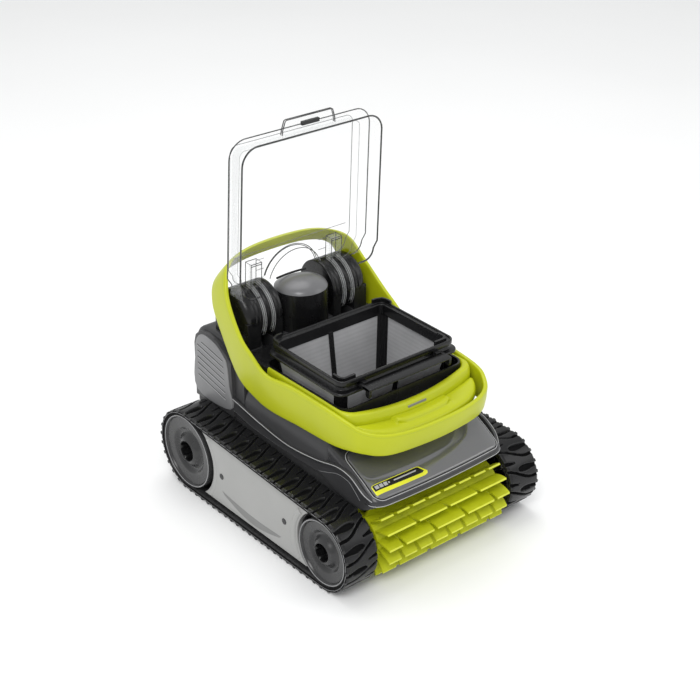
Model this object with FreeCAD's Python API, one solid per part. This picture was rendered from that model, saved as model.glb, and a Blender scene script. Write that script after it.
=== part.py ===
import FreeCAD, Part
import math
import os

# Cordless tracked pool-cleaning robot, lid open and filter basket in its seat.
# Millimetres. X is across the robot, -Y is the front, +Z is up.
# Origin: on the floor, midway between the two wheel axles, on the centre plane.

V = FreeCAD.Vector

# ---- driving dimensions ----
WHEELBASE = 300.0
FRONT_Y = -WHEELBASE / 2
REAR_Y = WHEELBASE / 2
FRONT_WHEEL_R = 46.2
REAR_WHEEL_R = 54.2
BELT_GAP = 0.4            # wheel rim to belt
BELT_WEB = 3.2
LUG_HEIGHT = 3.6
LUG_COUNT = 66
TRACK_IN = 117.7          # inner edge of each belt
TRACK_OUT = 168.6         # outer edge of each belt
AXLE_R = 4.0
RUNNING = 0.06            # radial clearance of journals and bores
WALL = 3.0
CHASSIS_HALF = 113.0
SCREW_Z = 61.0
SCREW_Y = (-73.0, 66.0)
BRUSH_Y = -157.0
BRUSH_Z = 56.0
BRUSH_TIP_R = 54.5
BRUSH_HALF = 107.4
VANE_ROWS = 16
LID_Y = 120.0             # lid hinge axis
LID_Z = 263.0
SADDLE_R = 38.0
DOME_R = 37.0
DOME_Y = 99.0
DOME_Z = 287.0
MODULE = 1.25             # of the track drive gears
GEAR_TEETH = 36
PINION_TEETH = 12
BEZEL_Z = 222.0
RIM_FRONT_Z = 253.0
RIM_BACK_Z = 256.0

BELT_LAYERS = BELT_GAP + BELT_WEB + LUG_HEIGHT
FRONT_Z = FRONT_WHEEL_R + BELT_LAYERS
REAR_Z = REAR_WHEEL_R + BELT_LAYERS
GEAR_DISTANCE = MODULE * (GEAR_TEETH + PINION_TEETH) / 2
MOTOR_Y = REAR_Y - GEAR_DISTANCE
SIDES = {"left": -1, "right": 1}


# ---- shape helpers ----
def box(x0, x1, y0, y1, z0, z1):
    return Part.makeBox(x1 - x0, y1 - y0, z1 - z0, V(x0, y0, z0))


def rod_x(radius, x0, x1, y, z):
    return Part.makeCylinder(radius, x1 - x0, V(x0, y, z), V(1, 0, 0))


def rod_z(radius, x, y, z0, z1):
    return Part.makeCylinder(radius, z1 - z0, V(x, y, z0), V(0, 0, 1))


def tube_x(outer, inner, x0, x1, y, z):
    return rod_x(outer, x0, x1, y, z).cut(rod_x(inner, x0 - 1, x1 + 1, y, z))


def face(points):
    return Part.Face(Part.makePolygon(points + points[:1]))


def prism_x(outline, x0, x1):
    """A (y, z) outline swept from x0 to x1."""
    return face([V(x0, y, z) for y, z in outline]).extrude(V(x1 - x0, 0, 0))


def prism_z(outline, z0, z1):
    """An (x, y) outline swept from z0 to z1."""
    return face([V(x, y, z0) for x, y in outline]).extrude(V(0, 0, z1 - z0))


def prism_y(outline, y0, y1):
    """An (x, z) outline swept from y0 to y1."""
    return face([V(x, y0, z) for x, z in outline]).extrude(V(0, y1 - y0, 0))


def fuse(shapes):
    whole = shapes[0]
    if len(shapes) > 1:
        whole = whole.fuse(shapes[1:])
    return whole.removeSplitter()


def mirror_x(shape):
    return shape.mirror(V(0, 0, 0), V(1, 0, 0))


def side(shape, name):
    """A shape drawn on the right (+X) side, on the named side."""
    return mirror_x(shape) if SIDES[name] < 0 else shape


def arc_points(cy, cz, radius, start, end, steps):
    """Points on an arc in the YZ plane, angles in degrees from +Y towards +Z."""
    angles = [math.radians(start + (end - start) * i / steps) for i in range(steps + 1)]
    return [(cy + radius * math.cos(a), cz + radius * math.sin(a)) for a in angles]


def rounded(half_x, y0, y1, corner, steps=6):
    """A rounded rectangle as an (x, y) outline."""
    centres = ((half_x - corner, y1 - corner, 0), (corner - half_x, y1 - corner, 90),
               (corner - half_x, y0 + corner, 180), (half_x - corner, y0 + corner, 270))
    points = []
    for cx, cy, start in centres:
        points += arc_points(cx, cy, corner, start, start + 90, steps)
    return points


# ---- track: belts, frames, side plates ----
def loop_at(front_r, rear_r, s):
    """Point and outward normal on the belt loop at the fraction s of its length."""
    tilt = math.radians(2 * math.degrees(math.atan2(rear_r - front_r, WHEELBASE)))
    run_low = WHEELBASE
    run_top = math.hypot(WHEELBASE, REAR_Z - FRONT_Z) * math.cos(tilt / 2)
    rear_arc = rear_r * (math.pi + tilt)
    front_arc = front_r * (math.pi - tilt)
    at = s * (run_low + rear_arc + run_top + front_arc)
    if at < run_low:
        return (FRONT_Y + at, FRONT_Z - front_r), (0.0, -1.0)
    at -= run_low
    if at < rear_arc:
        a = -math.pi / 2 + at / rear_r
        n = (math.cos(a), math.sin(a))
        return (REAR_Y + rear_r * n[0], REAR_Z + rear_r * n[1]), n
    at -= rear_arc
    up = (-math.sin(tilt), math.cos(tilt))
    if at < run_top:
        y = REAR_Y + rear_r * up[0] - at * math.cos(tilt)
        z = REAR_Z + rear_r * up[1] - at * math.sin(tilt)
        return (y, z), up
    at -= run_top
    a = math.pi / 2 + tilt + at / front_r
    n = (math.cos(a), math.sin(a))
    return (FRONT_Y + front_r * n[0], FRONT_Z + front_r * n[1]), n


def belt_outline():
    """Outer outline of the belt, with one lug in each pitch."""
    front = FRONT_WHEEL_R + BELT_GAP + BELT_WEB
    rear = REAR_WHEEL_R + BELT_GAP + BELT_WEB
    shape = ((0.00, 0.0), (0.10, LUG_HEIGHT), (0.48, LUG_HEIGHT), (0.58, 0.0))
    points = []
    for i in range(LUG_COUNT):
        for part, height in shape:
            (y, z), n = loop_at(front, rear, (i + part) / LUG_COUNT % 1.0)
            points.append((y + n[0] * height, z + n[1] * height))
    return points


def loop_face(front_r, rear_r, x):
    """The area inside the belt loop of the given radii, in the plane at x."""
    tilt = 2 * math.atan2(rear_r - front_r, WHEELBASE)
    up = (-math.sin(tilt), math.cos(tilt))
    low_front = V(x, FRONT_Y, FRONT_Z - front_r)
    low_rear = V(x, REAR_Y, REAR_Z - rear_r)
    top_rear = V(x, REAR_Y + rear_r * up[0], REAR_Z + rear_r * up[1])
    top_front = V(x, FRONT_Y + front_r * up[0], FRONT_Z + front_r * up[1])
    back = V(x, REAR_Y + rear_r, REAR_Z)
    nose = V(x, FRONT_Y - front_r, FRONT_Z)
    wire = Part.Wire([Part.LineSegment(low_front, low_rear).toShape(),
                      Part.Arc(low_rear, back, top_rear).toShape(),
                      Part.LineSegment(top_rear, top_front).toShape(),
                      Part.Arc(top_front, nose, low_front).toShape()])
    return Part.Face(wire)


def track_belt(name):
    outer = prism_x(belt_outline(), TRACK_IN, TRACK_OUT)
    hole = loop_face(FRONT_WHEEL_R + BELT_GAP, REAR_WHEEL_R + BELT_GAP, TRACK_IN - 1)
    return side(outer.cut(hole.extrude(V(TRACK_OUT - TRACK_IN + 2, 0, 0))), name)


PLATE_FRONT_R = 52.0      # the side plate's hollow round the front wheel
PLATE_REAR_R = 62.0
PLATE_FACE = 166.6
FRAME_OUT = 157.0


def between_wheels(x0, x1, inset):
    """The space inside the belt and between the wheels, kept inset from all of them."""
    whole = loop_face(FRONT_WHEEL_R - 0.8 - inset, REAR_WHEEL_R - 0.8 - inset, x0)
    whole = whole.extrude(V(x1 - x0, 0, 0))
    floor = box(x0 - 1, x1 + 1, -300, 300, 0, 12.0 + inset)
    front = rod_x(PLATE_FRONT_R + inset, x0 - 1, x1 + 1, FRONT_Y, FRONT_Z)
    rear = rod_x(PLATE_REAR_R + inset, x0 - 1, x1 + 1, REAR_Y, REAR_Z)
    behind = box(x0 - 1, x1 + 1, REAR_Y - 30, 300, 0, 300)
    before = box(x0 - 1, x1 + 1, -300, FRONT_Y + 22, 0, 300)
    return whole.cut([floor, front, rear, behind, before])


def track_frame(name):
    shape = between_wheels(CHASSIS_HALF, FRAME_OUT, 0.0)
    shape = shape.cut(between_wheels(CHASSIS_HALF + WALL, FRAME_OUT + 1, WALL))
    for y in SCREW_Y:
        shape = shape.fuse(rod_x(6.0, CHASSIS_HALF + 1, FRAME_OUT, y, SCREW_Z))
        shape = shape.cut(rod_x(1.75, FRAME_OUT - 18, FRAME_OUT + 1, y, SCREW_Z))
    return side(shape.removeSplitter(), name)


def side_plate(name):
    shape = between_wheels(FRAME_OUT, PLATE_FACE, 0.0)
    pocket = between_wheels(FRAME_OUT - 1, PLATE_FACE - WALL, WALL)
    for y in SCREW_Y:
        pocket = pocket.cut(rod_x(7.5, FRAME_OUT - 2, PLATE_FACE, y, SCREW_Z))
    shape = shape.cut(pocket)
    for y in SCREW_Y:
        shape = shape.cut(rod_x(4.6, PLATE_FACE - 4.5, PLATE_FACE + 1, y, SCREW_Z))
        shape = shape.cut(rod_x(1.75, FRAME_OUT - 1, PLATE_FACE, y, SCREW_Z))
    groove = rod_x(190.0, PLATE_FACE - 1.2, PLATE_FACE + 1, -5.0, 214.0)
    groove = groove.cut(rod_x(205.0, PLATE_FACE - 2, PLATE_FACE + 2, -5.0, 236.0))
    return side(shape.cut(groove).removeSplitter(), name)


def side_plate_screws():
    solids = []
    for name in SIDES:
        for y in SCREW_Y:
            head = rod_x(4.2, PLATE_FACE - 4.5, PLATE_FACE - 1.7, y, SCREW_Z)
            slot = box(PLATE_FACE - 3.2, PLATE_FACE, y - 0.6, y + 0.6, SCREW_Z - 2.4, SCREW_Z + 2.4)
            cross = box(PLATE_FACE - 3.2, PLATE_FACE, y - 2.4, y + 2.4, SCREW_Z - 0.6, SCREW_Z + 0.6)
            shank = rod_x(1.75, FRAME_OUT - 16, PLATE_FACE - 4.5, y, SCREW_Z)
            solids.append(side(head.fuse(shank).cut([slot, cross]), name))
    return Part.makeCompound(solids)


# ---- wheels, axles and track drive ----
def wheel(name, rim_r, y, z):
    """A drum with a dished outer face and a lobed socket round the axle's end."""
    cone_r = rim_r * 0.46
    socket_r = rim_r * 0.24
    outline = [(AXLE_R + RUNNING, 119.5), (9.0, 119.5), (9.0, 146.0), (socket_r + 6.0, 146.0),
               (socket_r + 6.0, 160.5), (cone_r, 160.5), (rim_r - 4.0, 157.0), (rim_r - 4.0, 119.5),
               (rim_r, 119.5), (rim_r, 166.0), (rim_r - 1.0, 167.0), (rim_r - 3.0, 167.0),
               (rim_r - 4.5, 164.0), (rim_r * 0.62, 161.5), (cone_r, 164.5), (socket_r + 4.0, 167.4),
               (socket_r, 167.0), (socket_r, 149.0), (AXLE_R + RUNNING, 149.0)]
    spun = face([V(x, 0, r) for r, x in outline]).revolve(V(0, 0, 0), V(1, 0, 0), 360)
    lobes = []
    for i in range(8):
        a = math.radians(45 * i + 22.5)
        lobes.append(rod_x(2.6, 150.0, 170.0, socket_r * math.cos(a), socket_r * math.sin(a)))
    spun = Part.Solid(spun.Shells[0]) if spun.ShapeType != "Solid" else spun
    spun = spun.cut(lobes)
    spun.translate(V(0, y, z))
    return side(spun, name)


def wheel_axles():
    solids = []
    for name in SIDES:
        for y, z in ((FRONT_Y, FRONT_Z), (REAR_Y, REAR_Z)):
            flange = rod_x(10.0, CHASSIS_HALF, 117.0, y, z)
            neck = rod_x(AXLE_R, 117.0, 152.4, y, z)
            solids.append(side(flange.fuse(neck), name))
    return Part.makeCompound(solids)


def axle_clips():
    solids = []
    for name in SIDES:
        for y, z in ((FRONT_Y, FRONT_Z), (REAR_Y, REAR_Z)):
            solids.append(side(tube_x(7.0, AXLE_R, 149.8, 151.6, y, z), name))
    return Part.makeCompound(solids)


def gear(teeth, x0, x1, y, z, bore, turned):
    """A spur gear with trapezoid teeth, thinned for backlash."""
    pitch_r = MODULE * teeth / 2
    step = 2 * math.pi / teeth
    shape = ((-0.30, -1.25), (-0.21, 0.0), (-0.10, 0.85), (0.10, 0.85), (0.21, 0.0), (0.30, -1.25))
    points = []
    for i in range(teeth):
        for part, rise in shape:
            a = turned + (i + part) * step
            r = pitch_r + rise * MODULE
            points.append((y + r * math.cos(a), z + r * math.sin(a)))
    return prism_x(points, x0, x1).cut(rod_x(bore, x0 - 1, x1 + 1, y, z))


def drive_gear(name):
    """Fixed on the rear wheel's hub; a gap between teeth faces the pinion (-Y)."""
    half_step = math.pi / GEAR_TEETH
    return side(gear(GEAR_TEETH, 121.0, 129.0, REAR_Y, REAR_Z, 9.0, math.pi + half_step), name)


def motor_pinion(name):
    """A tooth points at the wheel gear (+Y)."""
    teeth = gear(PINION_TEETH, 121.5, 128.5, MOTOR_Y, REAR_Z, 2.0, 0.0)
    shaft = rod_x(2.0, 104.0, 128.5, MOTOR_Y, REAR_Z)
    return side(teeth.fuse(shaft).removeSplitter(), name)


def drive_motor(name):
    can = rod_x(17.5, 62.0, 107.0, MOTOR_Y, REAR_Z)
    nose = rod_x(9.0, 107.0, 110.0, MOTOR_Y, REAR_Z)
    tail = rod_x(6.0, 58.0, 62.0, MOTOR_Y, REAR_Z)
    whole = fuse([can, nose, tail])
    return side(whole.cut(rod_x(2.0 + RUNNING, 103.0, 111.0, MOTOR_Y, REAR_Z)), name)


# ---- brush, driven by a motor inside its own core ----
def brush_core():
    """Tube with a closed right end, a bearing ring at the left and a driven web."""
    tube = tube_x(22.0, 18.0, -BRUSH_HALF, BRUSH_HALF, BRUSH_Y, BRUSH_Z)
    left = tube_x(20.0, 6.0 + RUNNING, -BRUSH_HALF, -96.0, BRUSH_Y, BRUSH_Z)
    right = tube_x(20.0, 3.5 + RUNNING, 94.0, BRUSH_HALF, BRUSH_Y, BRUSH_Z)
    web = rod_x(20.0, -34.0, -30.0, BRUSH_Y, BRUSH_Z)
    shaft = rod_x(2.5, -50.0, -32.0, BRUSH_Y, BRUSH_Z)
    return fuse([tube, left, right, web, shaft])


def brush_motor():
    """Tubular motor held by the left cheek."""
    can = rod_x(15.5, -92.0, -44.0, BRUSH_Y, BRUSH_Z)
    neck = rod_x(6.0, -CHASSIS_HALF, -92.0, BRUSH_Y, BRUSH_Z)
    nose = rod_x(7.0, -44.0, -40.0, BRUSH_Y, BRUSH_Z)
    return fuse([can, neck, nose]).cut(rod_x(2.5 + RUNNING, -52.0, -38.0, BRUSH_Y, BRUSH_Z))


def brush_pin():
    return rod_x(3.5, 96.0, CHASSIS_HALF, BRUSH_Y, BRUSH_Z)


def brush_sleeve():
    """A sleeve with rows of flaps; each row has gaps half a flap along from the last."""
    sleeve = tube_x(27.0, 22.0, -BRUSH_HALF, BRUSH_HALF, BRUSH_Y, BRUSH_Z)
    flap = 2 * BRUSH_HALF / 4
    solids = [sleeve]
    for row in range(VANE_ROWS):
        x = -BRUSH_HALF - (0.0 if row % 2 else flap / 2)
        while x < BRUSH_HALF - 1:
            x0 = max(x + 0.9, -BRUSH_HALF)
            x1 = min(x + flap - 0.9, BRUSH_HALF)
            if x1 - x0 > 4:
                blade = box(x0, x1, -1.3, 1.3, 26.0, BRUSH_TIP_R)
                blade.rotate(V(0, 0, 0), V(1, 0, 0), 360.0 * row / VANE_ROWS)
                blade.translate(V(0, BRUSH_Y, BRUSH_Z))
                solids.append(blade)
            x += flap
    return fuse(solids)


# ---- chassis tub and what is inside it ----
TUB_TOP = 118.0
TUB_FLOOR = 16.0
BRUSH_BAY_R = 58.0
DUCT = (46.0, -56.0, -18.0)          # half width, front, back


def tub_outline(inset):
    """Side view of the tub: the front wall follows the brush."""
    r = BRUSH_BAY_R + inset
    bay = arc_points(BRUSH_Y, BRUSH_Z, r, 62.0, -40.0, 12)
    bay = [(y, min(z, TUB_TOP - 4)) for y, z in bay]
    return bay + [(bay[-1][0] + 10, TUB_FLOOR + inset), (178 - inset, TUB_FLOOR + inset),
                  (192 - inset, TUB_FLOOR + 22), (192 - inset, TUB_TOP), (bay[0][0], TUB_TOP)]


def cheek(name):
    """The side wall that carries the brush pin and the front axle."""
    outline = arc_points(BRUSH_Y, BRUSH_Z, 22.0, 90, 250, 10) + [(-100.0, 26.0), (-100.0, TUB_TOP)]
    outline += [(-150.0, TUB_TOP)]
    return side(prism_x(outline, 110.0, CHASSIS_HALF), name)


def chassis_tub():
    half = CHASSIS_HALF
    shape = prism_x(tub_outline(0.0), -half, half)
    cavity = prism_x(tub_outline(WALL), WALL - half, half - WALL)
    top = box(WALL - half, half - WALL, -105, 192 - WALL, TUB_TOP - 5, TUB_TOP + 1)
    shape = shape.cut([cavity, top])
    shape = fuse([shape, cheek("left"), cheek("right")])
    wide, front, back = DUCT
    cuts = [box(-wide, wide, front, back, 0, TUB_FLOOR + 10),
            rod_x(6.0, -114, -94, BRUSH_Y, BRUSH_Z), rod_x(3.5, 94, 114, BRUSH_Y, BRUSH_Z)]
    for name in SIDES:
        cuts.append(side(rod_x(2.3, 105, 115, MOTOR_Y, REAR_Z), name))
    return shape.cut(cuts)


def inlet_duct():
    """The rectangular duct from the floor inlet up to the basket well."""
    wide, front, back = DUCT
    outer = box(-wide, wide, front, back, TUB_FLOOR, 112)
    inner = box(-wide + 2, wide - 2, front + 2, back - 2, 0, 200)
    shape = outer.cut(inner)
    lugs = [side(rod_x(4.5, wide - 7, wide - 2, back - 7.5, 27), n) for n in SIDES]
    shape = fuse([shape] + lugs)
    return shape.cut([side(rod_x(1.5, wide - 8, wide - 1.9, back - 7.5, 27), n) for n in SIDES])


def inlet_flap():
    """Swings up as water is drawn in and falls shut when the pump stops."""
    wide, front, back = DUCT
    plate = box(8 - wide, wide - 8, front + 3, back - 7.5, 26, 28)
    barrel = rod_x(3.0, 8 - wide, wide - 8, back - 7.5, 27)
    pin = rod_x(1.5 - RUNNING, 4 - wide, wide - 4, back - 7.5, 27)
    return fuse([plate, barrel, pin])


def battery_pack():
    shape = box(-78, 78, -8, 62, 19, 78)
    caps = [box(x - 3, x + 3, -8, 62, 78, 81) for x in (-50, 0, 50)]
    return fuse([shape] + caps)


def control_board():
    board = box(-70, 70, -5, 58, 88, 90)
    chips = [box(-50, -26, 8, 32, 90, 94), box(6, 26, 12, 30, 90, 93.5), box(40, 60, 20, 50, 90, 100)]
    posts = [box(x - 4, x + 4, y - 4, y + 4, 81, 88) for x in (-50, 50) for y in (10, 44)]
    return fuse([board] + chips + posts)


def pump_motor():
    can = rod_z(25.0, 0, DOME_Y, TUB_FLOOR + WALL, 104)
    top = rod_z(15.0, 0, DOME_Y, 104, 112)
    return can.fuse(top).removeSplitter().cut(rod_z(3.0 + RUNNING, 0, DOME_Y, 90, 113))


def impeller():
    """Propeller on the pump shaft, inside the outlet tower."""
    hub = rod_z(9.0, 0, DOME_Y, 196, 222)
    shaft = rod_z(3.0, 0, DOME_Y, 92, 206)
    blades = []
    for i in range(4):
        blade = box(6, 30.5, -9, 9, -1.2, 1.2)
        blade.rotate(V(0, 0, 0), V(1, 0, 0), 32)
        blade.rotate(V(0, 0, 0), V(0, 0, 1), 90 * i)
        blade.translate(V(0, DOME_Y, 209))
        blades.append(blade)
    return fuse([hub, shaft] + blades)


# ---- upper body ----
BODY_FRONT = -98.0
BEZEL_LOW = 205.0
HANDLE_PEGS = ((-70.0, 114.0), (20.0, 117.0))
NECK_HALF = 107.0
BODY_BACK = 84.0
HOUSE_BACK = 195.0
HOUSE_TOP = 230.0
VENT = ((108.0, 128.0), (108.0, 201.0), (139.0, 220.0), (184.0, 220.0), (184.0, 128.0))
HOUSE_HALF = 111.5
BUTTON_Z = 196.0
PORT = (60.0, 160.0)                  # x and z of the charging socket


def well_outline(grow):
    return rounded(104.0 + grow, -119.0 - grow, 50.0 + grow, 16.0 + grow)


def body_shell():
    """Dark cover between the tub and the bezel, narrower behind the carry handle."""
    low = box(-CHASSIS_HALF, CHASSIS_HALF, BODY_FRONT, BODY_BACK, TUB_TOP, 163)
    high = box(-NECK_HALF, NECK_HALF, BODY_FRONT, BODY_BACK, 163, BEZEL_LOW)
    inner = box(WALL - CHASSIS_HALF, CHASSIS_HALF - WALL, -130, BODY_BACK - WALL, 100, 160)
    upper = prism_z(rounded(NECK_HALF - 2.4, -130.0, BODY_BACK - WALL, 6.0), 150, 300)
    tower = rod_z(DOME_R + 0.6, 0, DOME_Y, 100, 300)
    snout = box(-31.6, 31.6, 50, 100, 100, 172)
    bulkhead = box(-NECK_HALF + 1, NECK_HALF - 1, 52, 55, TUB_TOP, BEZEL_LOW).cut(snout)
    pegs = [side(rod_x(5.0, NECK_HALF - 1, far, y, 190.0), n) for n in SIDES for y, far in HANDLE_PEGS]
    return fuse([low.fuse(high).cut([inner, upper, tower, snout]), bulkhead] + pegs)


def fenders():
    """Wavy ledges along the inner edges of the tracks."""
    low = [(104, 128), (88, 126), (60, 121), (-15, 118.6), (-75, 121.0), (-100, 126), (-122, 132),
           (-146, 118)]
    top = [(-160, 134), (-143, 143), (-118, 146), (-76, 137), (-16, 131), (45, 137), (92, 145), (104, 147)]
    ledge = prism_x(low + top, CHASSIS_HALF, TRACK_IN - 0.5)
    return Part.makeCompound([side(ledge, n) for n in SIDES])


HOOD_TOP = ((-188.6, 121.0), (-184.0, 126.0), (-175.0, 131.5), (-160.0, 140.5), (-145.0, 147.5),
            (-125.0, 157.0), (-100.0, 168.0))


def hood_top_at(y):
    for (y0, z0), (y1, z1) in zip(HOOD_TOP, HOOD_TOP[1:]):
        if y <= y1:
            return z0 + (z1 - z0) * (y - y0) / (y1 - y0)
    return HOOD_TOP[-1][1]


def front_hood():
    """Cover over the brush, 3 mm thick, with closed sides and a rolled front lip."""
    bay = arc_points(BRUSH_Y, BRUSH_Z, BRUSH_BAY_R, 63, 125, 10)
    outline = [(-189.0, 117.0)] + list(HOOD_TOP) + [(BODY_FRONT, 168.0), (BODY_FRONT, TUB_TOP),
                                                    (-128.0, TUB_TOP)] + bay
    shape = prism_x(outline, -CHASSIS_HALF, CHASSIS_HALF)
    hollow = [(-172.0, 124.0), (-145.0, 141.0), (-103.0, 160.0), (-103.0, TUB_TOP + 3), (-150.0, TUB_TOP + 3)]
    seat = box(-120.0, 120.0, -151.0, BODY_FRONT, 90.0, TUB_TOP)
    return shape.cut([prism_x(hollow, -106, 106), prism_z(well_outline(0.4), 100, 240), seat])


def over_hood(half_x, y0, y1, low, high):
    """A strip that follows the hood's top surface between two heights above it."""
    ys = [y0] + [y for y, z in HOOD_TOP if y0 < y < y1] + [y1]
    bottom = [(y, hood_top_at(y) + low) for y in ys]
    top = [(y, hood_top_at(y) + high) for y in ys]
    return prism_x(bottom + top[::-1], -half_x, half_x)


def hood_panel():
    return over_hood(98.0, -181.0, -128.0, 0.0, 1.4)


def hood_badge():
    plate = over_hood(34.0, -176.5, -162.5, 1.4, 2.6)
    plate.translate(V(-48.0, 0, 0))
    return plate


def house_outline():
    """Side view of the rear housing."""
    corner = arc_points(HOUSE_BACK - 26, 204.0, 26.0, 0, 90, 8)
    return [(BODY_BACK, TUB_TOP), (HOUSE_BACK - 3, TUB_TOP)] + corner + [(BODY_BACK, HOUSE_TOP)]


def rear_housing():
    shape = prism_x(house_outline(), -HOUSE_HALF, HOUSE_HALF)
    bulge = prism_x([(104, TUB_TOP), (104, 205), (137, 224), (185, 224), (191, 200), (192, TUB_TOP)], 110, 117)
    shape = fuse([shape] + [side(bulge, n) for n in SIDES])
    half = HOUSE_HALF - WALL
    inner = [(BODY_BACK + WALL, 100), (HOUSE_BACK - 6.5, 100), (HOUSE_BACK - 3.5, 200),
             (HOUSE_BACK - 26, HOUSE_TOP - WALL), (BODY_BACK + WALL, HOUSE_TOP - WALL)]
    shape = shape.cut([prism_x(inner, -half, half), rod_z(DOME_R + 0.6, 0, DOME_Y, 100, 240),
                       box(-31.6, 31.6, 60, 100, 100, 172)])
    cuts = [side(prism_x(list(VENT), 113.5, 120), n) for n in SIDES]
    cuts += [side(box(59, 79, LID_Y - 45, LID_Y + 20, 210, 240), n) for n in SIDES]
    cuts.append(Part.makeCylinder(12.0, 20, V(PORT[0], 185, PORT[1]), V(0, 1, 0)))
    guide = box(-14, 14, 168, 194, BUTTON_Z - 11, BUTTON_Z + 9)
    whole = shape.cut(cuts).fuse(guide.common(prism_x(house_outline(), -20, 20)))
    bore = Part.makeCylinder(4.0 + RUNNING, 20, V(0, 172, BUTTON_Z), V(0, 1, 0))
    well = Part.makeCylinder(9.0, 16, V(0, 183.5, BUTTON_Z), V(0, 1, 0))
    return whole.removeSplitter().cut([bore, well])


def rear_vent(name):
    """Side panel with slanted louvre grooves."""
    panel = prism_x(list(VENT), 113.5, 117.4)
    grooves = []
    for i in range(7):
        groove = box(116.4, 118.0, -27, 27, -1.1, 1.1)
        groove.rotate(V(0, 0, 0), V(1, 0, 0), 14)
        groove.translate(V(0, 149, 143.0 + 9.5 * i))
        grooves.append(groove)
    return side(panel.cut(grooves), name)


def power_button():
    """Push button on the back, near the top."""
    cap = Part.makeCylinder(8.6, 8.0, V(0, 188.5, BUTTON_Z), V(0, 1, 0))
    stem = Part.makeCylinder(4.0, 10.0, V(0, 178.5, BUTTON_Z), V(0, 1, 0))
    return cap.fuse(stem).removeSplitter()


def along_y(radius, y0, y1):
    """A rod on the charging socket's axis."""
    return Part.makeCylinder(radius, y1 - y0, V(PORT[0], y0, PORT[1]), V(0, 1, 0))


def charge_port():
    """Socket cup with a flange outside the wall and two ears that hold the cap's pin."""
    x, z = PORT
    ears = [box(x - 10, x - 6.4, 194.4, 200.2, z + 8, z + 19.4), box(x + 6.4, x + 10, 194.4, 200.2, z + 8, z + 19.4)]
    cup = fuse([along_y(11.9, 178, 195.1), along_y(15.0, 194.4, 195.1)] + ears)
    cup = cup.cut(along_y(9.5, 181, 196))
    contacts = [Part.makeCylinder(1.2, 8.0, V(x + dx, 181, z), V(0, 1, 0)) for dx in (-3.5, 3.5)]
    return fuse([cup, rod_x(1.1, x - 10, x + 10, 198.0, z + 17)] + contacts)


def charge_port_cap():
    """Hinged cover of the charging socket."""
    x, z = PORT
    ear = box(x - 6, x + 6, 195.5, 198.0, z + 8, z + 17)
    barrel = rod_x(2.0, x - 6, x + 6, 198.0, z + 17)
    disc = along_y(13.5, 195.5, 198.0).cut([box(x - 12, x - 5.9, 190, 202, z + 7.6, z + 20),
                                            box(x + 5.9, x + 12, 190, 202, z + 7.6, z + 20)])
    whole = fuse([disc, along_y(8.5, 191.6, 195.5), ear, barrel])
    return whole.cut(rod_x(1.1 + RUNNING, x - 12, x + 12, 198.0, z + 17))


# ---- basket well, outlet tower, hinge saddles ----
DECK_Y = 34.0             # the black deck reaches from here to the rear housing


def basket_well():
    """Tub that holds the basket: inlet in its floor, outlet in its back wall, deck behind it."""
    tower = rod_z(DOME_R + 0.6, 0, DOME_Y, 200, 330)
    deck = prism_z(rounded(109.0, -132.0, BODY_BACK, 14.0), BEZEL_LOW, BEZEL_Z)
    deck = deck.common(box(-120, 120, DECK_Y, 100, 200, 230)).cut(tower)
    outer = prism_z(well_outline(0.0), 112.0, BEZEL_Z).fuse(deck)
    inner = prism_z(well_outline(-2.5), 114.5, BEZEL_Z + 5)
    wide, front, back = DUCT
    inlet = box(2 - wide, wide - 2, front + 2, back - 2, 100, 120)
    outlet = box(-28, 28, 40, 60, 122, 168)
    pads = [box(x - 6, x + 6, y - 6, y + 6, 114.5, 130.2) for x in (-68, 68) for y in (-70, 8)]
    return fuse([outer.cut([inner, inlet, outlet])] + pads)


def outlet_tower():
    """Round duct that the pump blows up through, with a slot at the back under the dome."""
    outer = rod_z(DOME_R, 0, DOME_Y, 112.0, DOME_Z - 1)
    snout = box(-31, 31, 50, DOME_Y - 20, 119, 171)
    inner = rod_z(DOME_R - WALL, 0, DOME_Y, 115.0, DOME_Z + 5)
    intake = box(-28, 28, 49, DOME_Y, 122, 168)
    shaft = rod_z(3.6, 0, DOME_Y, 100, 130)
    slot = box(-24, 24, DOME_Y + 20, DOME_Y + 60, 262, 280)
    return outer.fuse(snout).removeSplitter().cut([inner, intake, shaft, slot])


def outlet_cap():
    """Satin dome on the tower."""
    rise = 15.0
    radius = (DOME_R ** 2 + rise ** 2) / (2 * rise)
    ball = Part.makeSphere(radius, V(0, DOME_Y, DOME_Z + rise - radius))
    cap = ball.common(box(-50, 50, DOME_Y - 50, DOME_Y + 50, DOME_Z + 3, DOME_Z + 40))
    rim = rod_z(DOME_R, 0, DOME_Y, DOME_Z - 1, DOME_Z + 3)
    cap = cap.fuse(rim).removeSplitter()
    small = Part.makeSphere(radius - 2.5, V(0, DOME_Y, DOME_Z + rise - radius))
    hollow = small.common(box(-50, 50, DOME_Y - 50, DOME_Y + 50, DOME_Z, DOME_Z + 40))
    return cap.cut([hollow, rod_z(DOME_R - 3, 0, DOME_Y, DOME_Z - 2, DOME_Z + 1)])


def hinge_saddle(name):
    """Round bar that the lid's claws turn on, with a pedestal each side of the claws."""
    bar = tube_x(SADDLE_R, SADDLE_R - 4, 44.0, 92.0, LID_Y, LID_Z)
    feet = [box(x0, x1, LID_Y - 34, LID_Y + 34, HOUSE_TOP, LID_Z) for x0, x1 in ((44.0, 57.0), (80.5, 92.0))]
    caps = [rod_x(SADDLE_R - 4, x, x + WALL, LID_Y, LID_Z) for x in (44.0, 89.0)]
    whole = fuse([bar] + feet + caps).cut(box(40, 110, LID_Y - 60, LID_Y + 60, 200, HOUSE_TOP))
    whole = whole.cut(rod_z(DOME_R + 0.6, 0, DOME_Y, 200, 330))
    return side(whole.removeSplitter(), name)


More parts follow.
